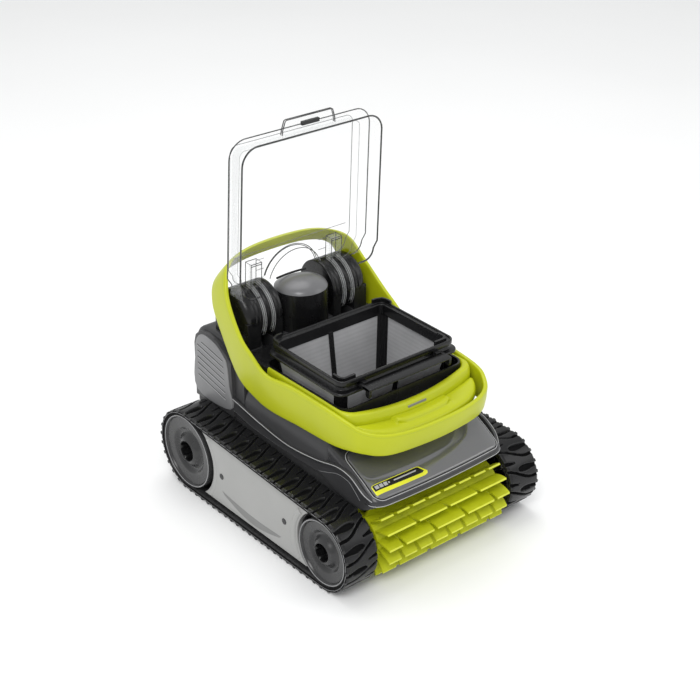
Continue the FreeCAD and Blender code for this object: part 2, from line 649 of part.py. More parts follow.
# ---- carry handle and bezel ----
# half of the band's edges, front to back, as (x, y, z) on its outer face
HANDLE_TOP = ((0, -185, 205), (88, -180, 208), (103, -171, 209), (113, -156.5, 211), (116, -139, 217.6),
              (118, -99, 222), (121, -30, 225), (126, 16, 224.5), (127, 47, 242), (126, 73, 260),
              (119, 106, 294), (109, 123, 319), (92, 139, 330), (56, 151, 338), (0, 155, 340))
HANDLE_LOW = ((0, -178, 173), (78, -172, 173), (98, -169, 177), (113, -158, 181), (115, -140, 176),
              (115, -110, 171.5), (115, -41, 167), (115, 20, 164), (116, 55, 170), (119, 88, 190),
              (118, 123, 238), (113, 150, 275), (98, 162, 302), (60, 164, 316), (0, 162, 321))
HANDLE_THICK = 5.5


def closed_curve(half):
    """Smooth closed curve through the points and their mirror images."""
    right = [V(*p) for p in half]
    left = [V(-p.x, p.y, p.z) for p in right[1:-1]]
    points = right + left[::-1]
    curve = Part.BSplineCurve()
    curve.interpolate(Points=points, PeriodicFlag=True, Parameters=list(range(len(points) + 1)))
    return curve


def carry_handle():
    """Band that runs round the basket well and rises to a hoop behind the lid."""
    low, high = closed_curve(HANDLE_LOW), closed_curve(HANDLE_TOP)
    steps = 4 * len(HANDLE_TOP)
    count = 2 * len(HANDLE_TOP) - 2
    sections = []
    for i in range(steps):
        at = count * i / steps
        along = low.tangent(at)[0] + high.tangent(at)[0]
        inward = V(-along.y, along.x, 0)
        inward.normalize()
        inward = inward * HANDLE_THICK
        a, b = low.value(at), high.value(at)
        sections.append([a, b, b + inward, a + inward])
    faces = []
    for i in range(steps):
        here, there = sections[i], sections[(i + 1) % steps]
        for k in range(4):
            p, q = here[k], here[(k + 1) % 4]
            r, t = there[(k + 1) % 4], there[k]
            faces.append(Part.Face(Part.makePolygon([p, q, r, p])))
            faces.append(Part.Face(Part.makePolygon([p, r, t, p])))
    band = Part.Solid(Part.makeShell(faces))
    return band.cut([side(rod_x(5.0, 90, far, y, 190.0), n) for n in SIDES for y, far in HANDLE_PEGS])


def bezel_ledge():
    """Bezel round the basket well, with the stepped ledge of the lid catch in front."""
    outline = rounded(109.0, -132.0, BODY_BACK, 14.0)
    ring = prism_z(outline, BEZEL_LOW, BEZEL_Z).cut(prism_z(well_outline(0.3), 200, 230))
    ring = ring.cut(box(-120, 120, DECK_Y - 0.3, 100, 200, 230))
    ledge = prism_x([(-119.5, 203.0), (-119.5, 214.0), (-132.0, 213.0), (-149.0, 215.0), (-155.0, 209.0),
                     (-159.5, 192.0), (-158.0, 185.0), (-140.0, 185.0)], -100.0, 100.0)
    front = box(-120, 120, -140, -124, 214.0, 230)
    recess = box(-43.0, 43.0, -165.0, -150.0, 201.0, 220.0)
    slot = box(-16.0, 16.0, -152.0, -137.0, 205.0, 210.8)
    return fuse([ring.cut(front), ledge.cut(prism_z(well_outline(0.3), 100, 240))]).cut([recess, slot])


def catch_tongue():
    """Sprung tongue in the ledge's slot, pushed back by the lid's tab."""
    return box(-15.6, 15.6, -149.6, -142.0, 205.4, 210.4)


# ---- filter basket ----
def rim_ring(half_x, y0, y1, corner, wide, z0, z1):
    outer = prism_z(rounded(half_x, y0, y1, corner), z0, z1)
    inner = prism_z(rounded(half_x - wide, y0 + wide, y1 - wide, max(corner - wide, 2.0)), z0 - 1, z1 + 1)
    return outer.cut(inner)


BASKET_FLOOR_Z = 132.0
RIM_TILT = math.degrees(math.atan2(RIM_BACK_Z - RIM_FRONT_Z, 148.0))


def basket_taper(grow, z0, z1):
    """Tapered tub shape between two heights, grown outward by grow."""
    def outline(z):
        t = (z - BASKET_FLOOR_Z) / (236.0 - BASKET_FLOOR_Z)
        return [V(x, y, z) for x, y in rounded(82.0 + 14 * t + grow, -84.0 - 18 * t - grow, 22.0 + 15 * t + grow, 10.0)]

    wires = [Part.makePolygon(outline(z) + outline(z)[:1]) for z in (z0, z1)]
    return Part.makeLoft(wires, True, True)


def basket_frame():
    """Flanged rim, ribs and floor ring of the basket."""
    upper = rim_ring(98.0, -106.0, 43.0, 12.0, 8.0, 247.5, 254.5)
    middle = rim_ring(94.0, -101.0, 38.0, 10.0, 4.0, 238.0, 248.0)
    lower = rim_ring(103.0, -110.0, 45.0, 14.0, 12.0, 236.0, 240.0)
    floor = rim_ring(82.0, -84.0, 22.0, 10.0, 9.0, BASKET_FLOOR_Z, BASKET_FLOOR_Z + 5)
    wall = basket_taper(0.0, BASKET_FLOOR_Z, 237.0).cut(basket_taper(-3.0, BASKET_FLOOR_Z - 1, 238.0))
    ribs = [box(x - 3, x + 3, -200, 200, 100, 300) for x in (-91, 0, 91)]
    ribs += [box(-200, 200, y - 3, y + 3, 100, 300) for y in (-97, 32)]
    ribs = [wall.common(fuse(ribs))]
    corners = [box(sx * 90 - 8, sx * 90 + 8, 28, 44, 250, 256.5) for sx in (-1, 1)]
    trim = prism_z(rounded(98.0, -106.0, 43.0, 12.0), 240, 270)
    hole = prism_z(rounded(90.0, -98.0, 35.0, 4.0), 240, 270)
    corners = [c.common(trim).cut(hole) for c in corners]
    lugs = [box(sx * 62 - 3.5, sx * 62 + 3.5, -112, -104, 239.0, 248.0) for sx in (-1, 1)]
    whole = fuse([upper, middle, lower, floor] + ribs + corners + lugs)
    whole = whole.cut(rod_x(2.3 + RUNNING, -70, 70, -108.0, 244.0))
    whole.rotate(V(0, -30, 244), V(1, 0, 0), RIM_TILT)
    return whole


def basket_mesh():
    """Fine filter mesh panels, drawn as thin skins between the ribs."""
    skin = basket_taper(-0.8, BASKET_FLOOR_Z + 5.2, 235.5).cut(basket_taper(-1.8, BASKET_FLOOR_Z, 238.0))
    skin.rotate(V(0, -30, 244), V(1, 0, 0), RIM_TILT)
    skin = skin.cut(basket_frame())
    keep = [s for s in skin.Solids if s.Volume > 20]
    return Part.makeCompound(keep)


def basket_door():
    """Solid floor of the basket, with the raised inlet chimney."""
    plate = prism_z(rounded(72.5, -74.5, 12.5, 4.0), BASKET_FLOOR_Z + 0.6, BASKET_FLOOR_Z + 3.6)
    hole = box(-36, 36, -52, -22, 100, 200)
    chimney = box(-39, 39, -55, -19, BASKET_FLOOR_Z + 0.6, BASKET_FLOOR_Z + 24)
    whole = plate.fuse(chimney).cut(hole)
    whole.rotate(V(0, -30, 244), V(1, 0, 0), RIM_TILT)
    return whole.removeSplitter()


def basket_handle():
    """Drop handle that lies over the front of the rim."""
    bar = box(-70.0, 70.0, -128.0, -117.5, 242.5, 245.5)
    arms = [box(sx * 68 - 2, sx * 68 + 2, -128.0, -108.0, 241.5, 246.5) for sx in (-1, 1)]
    arms += [rod_x(2.5, sx * 68 - 2, sx * 68 + 2, -108.0, 244.0) for sx in (-1, 1)]
    pins = [rod_x(2.3, min(sx * 59, sx * 68), max(sx * 59, sx * 68), -108.0, 244.0) for sx in (-1, 1)]
    whole = fuse([bar] + arms + pins)
    whole.rotate(V(0, -30, 244), V(1, 0, 0), RIM_TILT)
    return whole


# ---- lid ----
LID_SIDE = ((112.0, 304.0), (118.5, 330.0), (116.0, 490.0))
LID_BACK = LID_Y + 5.0    # outer faces before the lid is leant forward
LID_SHOULDER = LID_Y - 13.0
LID_EDGE = LID_Y - 40.0
LID_SKIN = 2.4
LID_TOP = 520.0
LID_STEP = 15.0           # the raised middle is this much smaller all round
LID_LEAN = 3.5            # degrees that the open lid leans forward


def lean(shape):
    shape.rotate(V(0, LID_Y, LID_Z), V(1, 0, 0), LID_LEAN)
    return shape


def lid_outline(inset, bottom):
    """Lid seen from the front, open: narrower at the hinge, rounded at the free end."""
    corner = 26.0
    low, waist, top = LID_SIDE
    right = [(low[0] - inset, bottom), (waist[0] - inset, waist[1])]
    right += arc_points(top[0] - corner, LID_TOP - corner, corner - inset, 0, 90, 6)
    return right + [(-x, z) for x, z in right[::-1]]


def lid_shell():
    """Clear tray with a raised middle, an arch that clears the dome, and a tab at the free end."""
    deep = LID_SKIN + LID_STEP
    outer = [prism_y(lid_outline(0.0, 304.0), LID_EDGE, LID_SHOULDER),
             prism_y(lid_outline(LID_STEP, 300.0), LID_SHOULDER - 4, LID_BACK)]
    inner = [prism_y(lid_outline(LID_SKIN, 290.0), LID_EDGE - 1, LID_SHOULDER - LID_SKIN),
             prism_y(lid_outline(deep, 290.0), LID_SHOULDER - 6, LID_BACK - LID_SKIN)]
    rim = Part.makeCylinder(47.0, 12, V(0, LID_BACK - 12, 292.0), V(0, 1, 0))
    arch = Part.makeCylinder(44.6, 80, V(0, LID_EDGE - 10, 292.0), V(0, 1, 0))
    tab = prism_y([(-43, LID_TOP - 2.4), (43, LID_TOP - 2.4), (38, LID_TOP + 17), (-38, LID_TOP + 17)],
                  LID_Y - 28, LID_Y - 25)
    whole = outer[0].fuse(outer[1]).cut(inner)
    whole = fuse([whole, rim.common(box(-50, 50, 0, 300, 300, 345)), tab])
    whole = whole.cut([arch, box(-44.6, 44.6, LID_EDGE - 5, LID_BACK + 5, 280, 304)])
    return lean(whole.cut(rod_x(SADDLE_R + 5.0, -108.5, 108.5, LID_Y, LID_Z)))


def lid_claws():
    """Knuckle boxes with fingers that wrap the hinge saddles."""
    inside = LID_BACK - LID_SKIN
    ring_r = SADDLE_R + 0.3
    knuckle = box(60.0, 77.5, inside - 13, inside, 296.0, 336.0)
    knuckle = knuckle.cut(box(63.0, 74.5, inside - 20, inside - 3, 290.0, 333.0))
    sector = [(LID_Y, LID_Z), (LID_Y, 330), (60, 330), (60, LID_Z - 20.0)]
    fingers = []
    for x0 in (60.0, 74.5):
        ring = tube_x(ring_r + 4.4, ring_r, x0, x0 + 3.0, LID_Y, LID_Z)
        fingers.append(ring.common(prism_x(sector, x0 - 1, x0 + 4)))
    whole = fuse([knuckle] + fingers).cut(rod_x(ring_r, 50, 90, LID_Y, LID_Z))
    whole = lean(whole)
    return Part.makeCompound([side(whole, n) for n in SIDES])


def lid_catch():
    """Black hook strip under the lid's tab."""
    return lean(box(-14.0, 14.0, LID_Y - 32, LID_Y - 28, LID_TOP + 6, LID_TOP + 11))


NODES = {
    "chassis_tub": chassis_tub(),
    "inlet_duct": inlet_duct(),
    "inlet_flap": inlet_flap(),
    "battery_pack": battery_pack(),
    "control_board": control_board(),
    "pump_motor": pump_motor(),
    "impeller": impeller(),
    "body_shell": body_shell(),
    "front_hood": front_hood(),
    "hood_panel": hood_panel(),
    "hood_badge": hood_badge(),
    "rear_housing": rear_housing(),
    "power_button": power_button(),
    "charge_port": charge_port(),
    "charge_port_cap": charge_port_cap(),
    "basket_well": basket_well(),
    "outlet_tower": outlet_tower(),
    "outlet_cap": outlet_cap(),
    "carry_handle": carry_handle(),
    "bezel_ledge": bezel_ledge(),
    "catch_tongue": catch_tongue(),
    "basket_frame": basket_frame(),
    "basket_mesh": basket_mesh(),
    "basket_door": basket_door(),
    "basket_handle": basket_handle(),
    "lid_shell": lid_shell(),
    "lid_catch": lid_catch(),
    "lid_claws": lid_claws(),
    "fenders": fenders(),
    "brush_core": brush_core(),
    "brush_sleeve": brush_sleeve(),
    "brush_pin": brush_pin(),
    "brush_motor": brush_motor(),
    "side_plate_screws": side_plate_screws(),
    "wheel_axles": wheel_axles(),
    "axle_clips": axle_clips(),
}
for where in SIDES:
    NODES["track_belt_" + where] = track_belt(where)
    NODES["track_frame_" + where] = track_frame(where)
    NODES["side_plate_" + where] = side_plate(where)
    NODES["front_wheel_" + where] = wheel(where, FRONT_WHEEL_R, FRONT_Y, FRONT_Z)
    NODES["rear_wheel_" + where] = wheel(where, REAR_WHEEL_R, REAR_Y, REAR_Z)
    NODES["drive_gear_" + where] = drive_gear(where)
    NODES["motor_pinion_" + where] = motor_pinion(where)
    NODES["drive_motor_" + where] = drive_motor(where)
    NODES["rear_vent_" + where] = rear_vent(where)
    NODES["hinge_saddle_" + where] = hinge_saddle(where)

os.makedirs("parts", exist_ok=True)
for node, shape in NODES.items():
    shape.exportStep("parts/" + node + ".step")
    print(node, shape.ShapeType, len(shape.Solids), round(shape.Volume), shape.isValid())
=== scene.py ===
"""Looks for the tracked pool-cleaning robot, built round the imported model."""

import math

import bmesh
import bpy
from mathutils import Matrix, Vector


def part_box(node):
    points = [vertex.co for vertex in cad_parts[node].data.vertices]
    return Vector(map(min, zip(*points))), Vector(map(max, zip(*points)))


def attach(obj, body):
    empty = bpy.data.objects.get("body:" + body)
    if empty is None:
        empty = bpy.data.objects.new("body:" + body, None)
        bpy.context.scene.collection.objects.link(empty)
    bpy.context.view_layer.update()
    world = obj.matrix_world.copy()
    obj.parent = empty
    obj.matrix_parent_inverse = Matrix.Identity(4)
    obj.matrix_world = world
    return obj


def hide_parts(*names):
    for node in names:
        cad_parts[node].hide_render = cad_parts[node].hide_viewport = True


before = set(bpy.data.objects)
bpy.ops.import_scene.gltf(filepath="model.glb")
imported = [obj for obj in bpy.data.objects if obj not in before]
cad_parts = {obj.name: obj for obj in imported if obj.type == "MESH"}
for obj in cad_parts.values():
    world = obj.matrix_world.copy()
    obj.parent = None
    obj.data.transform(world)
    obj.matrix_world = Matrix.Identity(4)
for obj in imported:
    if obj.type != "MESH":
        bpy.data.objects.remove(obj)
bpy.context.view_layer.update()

MM = 0.001
SIDES = {"left": -1, "right": 1}


# ---- sizes in millimetres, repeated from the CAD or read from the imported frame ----
def mm_box(node):
    low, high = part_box(node)
    return [v / MM for v in low], [v / MM for v in high]


def wheel_centre(node):
    low, high = mm_box(node)
    return (low[1] + high[1]) / 2, (low[2] + high[2]) / 2, (high[2] - low[2]) / 2


FRONT_Y, FRONT_Z, FRONT_R = wheel_centre("front_wheel_right")
REAR_Y, REAR_Z, REAR_R = wheel_centre("rear_wheel_right")
WHEELBASE = REAR_Y - FRONT_Y
TRACK_IN = mm_box("track_belt_right")[0][0]
TRACK_OUT = mm_box("track_belt_right")[1][0]
BELT_GAP = 0.4
BELT_WEB = 3.2
LUG_HEIGHT = 3.6
PLATE_FACE = mm_box("side_plate_right")[1][0]


# ---- materials ----
class Look:
    """A procedural material. Each helper adds a node and returns the output to link on."""

    def __init__(self, name):
        self.mat = bpy.data.materials.new(name)
        self.mat.use_nodes = True
        self.tree = self.mat.node_tree
        self.shader = self.tree.nodes["Principled BSDF"]

    def feed(self, node, inputs):
        """Sets a node's inputs: constants directly, other nodes' outputs by a link."""
        for key, value in inputs.items():
            if isinstance(value, bpy.types.NodeSocket):
                self.tree.links.new(value, node.inputs[key])
            else:
                node.inputs[key].default_value = value

    def add(self, kind, inputs, output=0, **settings):
        node = self.tree.nodes.new("ShaderNode" + kind)
        for key, value in settings.items():
            setattr(node, key, value)
        self.feed(node, inputs)
        return node.outputs[output]

    def place(self):
        return self.add("TexCoord", {}, "Object")

    def noise(self, scale, detail=4.0, stretch=(1.0, 1.0, 1.0)):
        """Noise in object coordinates, in cycles per metre."""
        place = self.add("Mapping", {"Vector": self.place(), "Scale": stretch})
        return self.add("TexNoise", {"Vector": place, "Scale": scale, "Detail": detail}, "Fac")

    def ramp(self, source, *stops):
        node = self.tree.nodes.new("ShaderNodeValToRGB")
        for element, (place, colour) in zip(node.color_ramp.elements, stops):
            element.position = place
            element.color = (*colour, 1.0)
        self.feed(node, {"Fac": source})
        return node.outputs["Color"]

    def mapped(self, source, low, high, start=0.0, end=1.0):
        return self.add("MapRange", {"Value": source, "From Min": start, "From Max": end,
                                     "To Min": low, "To Max": high})

    def product(self, a, b):
        return self.add("Math", {0: a, 1: b}, operation="MULTIPLY")

    def mixed(self, factor, a, b, way="MIX"):
        return self.add("Mix", {"Factor": factor, "A": a, "B": b}, "Result", data_type="RGBA", blend_type=way)

    def emboss(self, height, strength, distance):
        return self.add("Bump", {"Height": height, "Strength": strength, "Distance": distance})

    def finish(self, **inputs):
        """Feeds the shader, with its inputs' names in lower case and underscores."""
        names = {key.lower().replace(" ", "_"): key for key in self.shader.inputs.keys()}
        self.feed(self.shader, {names[key]: value for key, value in inputs.items()})
        return self.mat


def scaled(colour, k):
    return tuple(min(1.0, c * k) for c in colour)


def plastic(name, colour, rough=0.4, spread=0.06, grain=1800.0, bump=0.02, wear_and_sheen=0.25, coat=0.0,
            specular=0.5, mottled=1.12):
    """Moulded plastic: fine spark-eroded grain, faint clouding, and lighter convex edges that are part wear,
    part painted highlight.
    """
    look = Look(name)
    dull, bright = scaled(colour, 1 / mottled), scaled(colour, mottled)
    tone = look.ramp(look.noise(16.0, 5.0), (0.3, dull), (0.7, bright))
    # Lighter convex edges: part wear, part painted highlight where edges catch the light.
    edge = look.mapped(look.add("NewGeometry", {}, "Pointiness"), 0.0, 1.0, 0.52, 0.62)
    wear_and_sheen_mask = look.product(edge, look.mapped(look.noise(120.0, 6.0), 0.0, wear_and_sheen * 2))
    worn_and_lit_colour = (*scaled(tuple(c + 0.04 for c in colour), 1.7), 1.0)
    return look.finish(base_color=look.mixed(wear_and_sheen_mask, tone, worn_and_lit_colour),
                       roughness=look.mapped(look.noise(45.0, 6.0), rough - spread, rough + spread),
                       normal=look.emboss(look.noise(grain, 2.0), bump * 10, 0.00008),
                       specular_ior_level=specular, coat_weight=coat, coat_roughness=0.08)


def metal(name, colour, rough=0.3):
    look = Look(name)
    brushed = look.noise(900.0, 3.0)
    return look.finish(base_color=look.ramp(brushed, (0.35, scaled(colour, 0.8)), (0.7, scaled(colour, 1.1))),
                       roughness=look.mapped(brushed, rough - 0.08, rough + 0.12), metallic=1.0)


def clear_plastic(name, tint, alpha_low, alpha_high):
    """Thin clear moulding: almost invisible face on, with faint flow marks and gloss."""
    look = Look(name)
    flow = look.noise(9.0, 3.0, (1.0, 0.6, 0.4))
    return look.finish(base_color=look.ramp(flow, (0.3, scaled(tint, 0.97)), (0.7, tint)),
                       alpha=look.mapped(flow, alpha_low, alpha_high),
                       roughness=look.mapped(look.noise(60.0), 0.03, 0.1), specular_ior_level=0.5)


def mesh_cloth(name, colour):
    """Fine woven filter mesh."""
    look = Look(name)
    x, z, y = [look.add("TexWave", {"Vector": look.place(), "Scale": 420.0}, "Fac", bands_direction=way)
               for way in "XZY"]
    weave = look.product(look.product(x, z), y)
    tone = look.ramp(look.noise(22.0), (0.3, scaled(colour, 0.86)), (0.7, scaled(colour, 1.1)))
    threads = look.ramp(weave, (0.0, (0.5, 0.5, 0.5)), (0.4, (1.0, 1.0, 1.0)))
    return look.finish(base_color=look.mixed(0.35, tone, threads, "MULTIPLY"), roughness=0.6,
                       normal=look.emboss(weave, 0.4, 0.0002))


# Darker lime for the line along the handle's crease: painted shade in the groove.
LIME_PAINTED_SHADE = plastic("lime_painted_shade", (0.30, 0.37, 0.01), rough=0.4, wear_and_sheen=0.1)
LIME = plastic("lime_plastic", (0.475, 0.52, 0.008), rough=0.34, grain=1500, wear_and_sheen=0.1, mottled=1.03,
               specular=0.36)
# Dark plastic, also used as painted shade in the vent slots, the catch slot and on the screw heads.
DARK_AND_SHADE = plastic("dark_plastic", (0.038, 0.038, 0.040), rough=0.38, grain=1300, wear_and_sheen=0.2, specular=0.35)
HOOD_DARK = plastic("hood_dark", (0.036, 0.036, 0.038), rough=0.24, grain=900, bump=0.006, wear_and_sheen=0.2,
                    specular=0.4)
HOOD_GLOSS = plastic("hood_gloss", (0.10, 0.10, 0.105), rough=0.07, spread=0.02, grain=700, bump=0.004,
                     wear_and_sheen=0.1, coat=1.0, mottled=1.05, specular=1.0)
# Black plastic, also used as painted shade in gaps, slots and recesses.
BLACK_AND_SHADE = plastic("black_plastic", (0.006, 0.006, 0.0065), rough=0.26, grain=1100, bump=0.01, wear_and_sheen=0.15,
                specular=0.35)
RUBBER = plastic("track_rubber", (0.009, 0.009, 0.0097), rough=0.25, spread=0.08, grain=1400, bump=0.03,
                 wear_and_sheen=0.6, specular=0.3)
# Darker copy of the track rubber for the groove floors and the belt's outer side: painted shade.
GROOVE_SHADE = plastic("track_groove_shade", (0.0022, 0.0022, 0.0024), rough=0.8, wear_and_sheen=0.0, specular=0.12)
# Light grey bead on the black belt edge: painted highlight.
BEAD_HIGHLIGHT = plastic("track_edge_highlight", (0.16, 0.16, 0.165), rough=0.4, wear_and_sheen=0.3)
WHEEL = plastic("wheel_plastic", (0.030, 0.030, 0.031), rough=0.27, grain=1000, wear_and_sheen=0.0, specular=0.5)
# Light grey ring on the wheel's rolled rim: painted highlight.
WHEEL_RIM_HIGHLIGHT = plastic("wheel_rim_highlight", (0.24, 0.24, 0.245), rough=0.34, wear_and_sheen=0.3)
SIDE_GREY = plastic("side_grey", (0.36, 0.36, 0.352), rough=0.42, grain=1500, wear_and_sheen=0.1, mottled=1.04)
# Darker grey for the crescent on the side plate: painted shade.
SIDE_PAINTED_SHADE = plastic("side_grey_painted_shade", (0.20, 0.20, 0.197), rough=0.5, wear_and_sheen=0.1, mottled=1.05)
# Grey of the vent cover and catch bar; it also paints a highlight line along each fender's foot.
VENT_GREY_AND_HIGHLIGHT = plastic("vent_grey", (0.21, 0.21, 0.215), rough=0.4, wear_and_sheen=0.2)
# Light grey for the plaque's printed marks, and for painted highlight lines on the fender, hood, panel and
# vent edges.
HIGHLIGHT_AND_PRINT_GREY = plastic("highlight_and_print_grey", (0.42, 0.42, 0.43), rough=0.32, wear_and_sheen=0.2)
DOME = plastic("dome_grey", (0.13, 0.13, 0.135), rough=0.3, grain=1200, wear_and_sheen=0.2, coat=0.2)
BRUSH = plastic("brush_rubber", (0.42, 0.455, 0.002), rough=0.5, spread=0.08, grain=900, wear_and_sheen=0.15,
                mottled=1.08, specular=0.2)
BRUSH_TIP_MAT = plastic("brush_tip_rubber", (0.62, 0.68, 0.03), rough=0.5, wear_and_sheen=0.2)
BADGE_YELLOW = plastic("badge_yellow", (0.80, 0.80, 0.03), rough=0.3, wear_and_sheen=0.1)
CLOTH = mesh_cloth("filter_mesh", (0.47, 0.47, 0.48))
STEEL = metal("zinc_steel", (0.55, 0.55, 0.57))
CAN = metal("motor_can", (0.38, 0.38, 0.4), 0.35)
CLEAR = clear_plastic("clear_lid", (0.93, 0.95, 0.96), 0.03, 0.07)
CLEAR_WALL = clear_plastic("clear_lid_wall", (0.85, 0.88, 0.89), 0.05, 0.12)
# Lid line colours are painted light: dark lines stand for the dark surroundings the clear edges refract and
# reflect, the grey and light ones for highlights on those edges.
LID_EDGE_DARK_REFLECTION = plastic("lid_edge_dark_reflection", (0.015, 0.015, 0.016), rough=0.2, wear_and_sheen=0.1, coat=0.3)
LID_REFLECTION_LINE = plastic("lid_fine_reflection_line", (0.12, 0.12, 0.12), rough=0.2, wear_and_sheen=0.1)
LID_GLINT = plastic("lid_glint", (0.30, 0.30, 0.30), rough=0.15, wear_and_sheen=0.1)
WHITE = plastic("white_plastic", (0.7, 0.7, 0.67), rough=0.4)
BATTERY = plastic("battery_wrap", (0.02, 0.05, 0.16), rough=0.3)
BOARD = plastic("circuit_board", (0.02, 0.11, 0.05), rough=0.35)


# ---- mesh helpers: every builder works in millimetres ----
def round_edges(obj, width, angle):
    """Bevels the edges sharper than an angle."""
    mod = obj.modifiers.new("edge_round", "BEVEL")
    mod.width = width * MM
    mod.segments = 2
    mod.limit_method = "ANGLE"
    mod.angle_limit = math.radians(angle)


def piece(name, bm, material, body="chassis", smooth=35.0, bevel=0.0):
    """Turns a bmesh in millimetres into a finished piece that rides on a body."""
    bmesh.ops.remove_doubles(bm, verts=bm.verts, dist=0.001)
    bmesh.ops.recalc_face_normals(bm, faces=bm.faces)
    bmesh.ops.scale(bm, vec=(MM, MM, MM), verts=bm.verts)
    mesh = bpy.data.meshes.new(name)
    bm.to_mesh(mesh)
    bm.free()
    obj = bpy.data.objects.new(name, mesh)
    bpy.context.scene.collection.objects.link(obj)
    for mat in material if isinstance(material, (list, tuple)) else [material]:
        mesh.materials.append(mat)
    if bevel:
        round_edges(obj, bevel, 28)
    for face in mesh.polygons:
        face.use_smooth = True
    mesh.set_sharp_from_angle(angle=math.radians(smooth))
    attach(obj, body)
    return obj


def soften(node, material, width):
    """Gives a CAD node its material and rounded edges, leaving its shape alone."""
    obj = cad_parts[node]
    for slot in obj.material_slots:
        slot.material = material
    if width:
        flat = obj.modifiers.new("planar", "DECIMATE")
        flat.decimate_type = "DISSOLVE"
        flat.angle_limit = math.radians(0.8)
        round_edges(obj, width, 32)
        normals = obj.modifiers.new("normals", "WEIGHTED_NORMAL")
        normals.keep_sharp = True


def skin(bm, rings, closed=True, material=0, cap=False, around=True):
    """Quads between successive rings of vertices.

    closed joins the last ring to the first, around joins each ring's own ends."""
    verts = [[bm.verts.new(p) for p in ring] for ring in rings]
    count = len(verts)
    for i in range(count if closed else count - 1):
        here, there = verts[i], verts[(i + 1) % count]
        for k in range(len(here) if around else len(here) - 1):
            j = (k + 1) % len(here)
            bm.faces.new((here[k], here[j], there[j], there[k])).material_index = material
    ends = []
    if cap and around:
        ends = [verts[0], verts[-1]]
    elif cap:
        ends = [[ring[0] for ring in verts], [ring[-1] for ring in verts]]
    for ring in ends:
        bm.faces.new(ring).material_index = material


def tube(bm, rings, material=0):
    """An open stack of rings with both ends capped."""
    skin(bm, rings, closed=False, cap=True, material=material)


def reshape(bm, move):
    for vert in bm.verts:
        vert.co = move(vert.co)


def wire(name, paths, radius, material, body="chassis", closed=False, sides=6):
    """Fine beads of one radius along one or more paths."""
    bm = bmesh.new()
    for path in paths:
        points = [Vector(p) for p in path]
        count = len(points)
        rings = []
        for i, point in enumerate(points):
            if closed:
                along = points[(i + 1) % count] - points[i - 1]
            else:
                along = points[min(i + 1, count - 1)] - points[max(i - 1, 0)]
            across = along.cross(Vector((0.11, 0.23, 0.97))).normalized()
            up = across.cross(along).normalized()
            circle = arc(0.0, 0.0, radius, 0, 360, sides)[:-1]
            rings.append([point + across * u + up * v for u, v in circle])
        skin(bm, rings, closed=closed, cap=not closed)
    return piece(name, bm, material, body=body, smooth=60)


def prism(bm, outline, axis, a, b):
    """A straight-sided solid from a plane outline, swept along an axis from a to b."""
    def place(u, v, w):
        return {"x": (w, u, v), "y": (u, w, v), "z": (u, v, w)}[axis]

    tube(bm, [[place(u, v, w) for u, v in outline] for w in (a, b)])


def block(bm, x0, x1, y0, y1, z0, z1):
    prism(bm, [(x0, y0), (x1, y0), (x1, y1), (x0, y1)], "z", z0, z1)


def polar(cx, cy, radius, angle):
    return cx + radius * math.cos(angle), cy + radius * math.sin(angle)


def lathe_x(bm, profile, y, z, steps=96, material=0, sign=1, closed=False):
    """A profile of (x, radius) spun about an axis along X; closed joins the profile's own ends."""
    turns = [2 * math.pi * i / steps for i in range(steps)]
    rings = [[(sign * px, *polar(y, z, r, a)) for px, r in profile] for a in turns]
    skin(bm, rings, material=material, around=closed)


def arc(cx, cy, radius, start, end, steps):
    angles = [math.radians(start + (end - start) * i / steps) for i in range(steps + 1)]
    return [polar(cx, cy, radius, a) for a in angles]


def rounded(half_x, y0, y1, corner):
    """Rounded rectangle, symmetrical in x."""
    x, low, high = half_x - corner, y0 + corner, y1 - corner
    points = []
    for cx, cy, start in ((x, high, 0), (-x, high, 90), (-x, low, 180), (x, low, 270)):
        points += arc(cx, cy, corner, start, start + 90, 8)
    return points


def smoothstep(a, b, t):
    t = max(0.0, min(1.0, (t - a) / (b - a)))
    return t * t * (3 - 2 * t)


def blend(start, end, share):
    return start + (end - start) * share


def quarter_round(share):
    """Fall along a quarter circle: 0 up to the start of a corner, 1 at its end."""
    return 1 - math.sqrt(max(0.0, 1 - max(0.0, share) ** 2))


def interpolate(table, t):
    """Straight-line value of a table of (t, value) pairs."""
    for (t0, v0), (t1, v1) in zip(table, table[1:]):
        if t <= t1:
            return v0 + (v1 - v0) * max(0.0, (t - t0)) / (t1 - t0)
    return table[-1][1]


def smooth_curve(points, steps, closed=True):
    """Catmull-Rom curve through the points."""
    count = len(points)
    spans = count if closed else count - 1
    out = []
    for i in range(spans):
        p = [Vector(points[(i + k - 1) % count if closed else min(max(i + k - 1, 0), count - 1)])
             for k in range(4)]
        for j in range(steps):
            t = j / steps
            out.append(0.5 * (2 * p[1] + (p[2] - p[0]) * t + (2 * p[0] - 5 * p[1] + 4 * p[2] - p[3]) * t * t
                              + (3 * p[1] - p[0] - 3 * p[2] + p[3]) * t ** 3))
    if not closed:
        out.append(Vector(points[-1]))
    return out


# ---- tracks: the belt's loop is two straight runs and an arc round each wheel ----
TILT = 2 * math.atan2(REAR_R - FRONT_R, WHEELBASE)
FRONT_LOOP = FRONT_R + BELT_GAP
REAR_LOOP = REAR_R + BELT_GAP
REAR_ARC = REAR_LOOP * (math.pi + TILT)
TOP_RUN = math.hypot(WHEELBASE, REAR_Z - FRONT_Z) * math.cos(TILT / 2)
BELT_LENGTH = WHEELBASE + REAR_ARC + TOP_RUN + FRONT_LOOP * (math.pi - TILT)


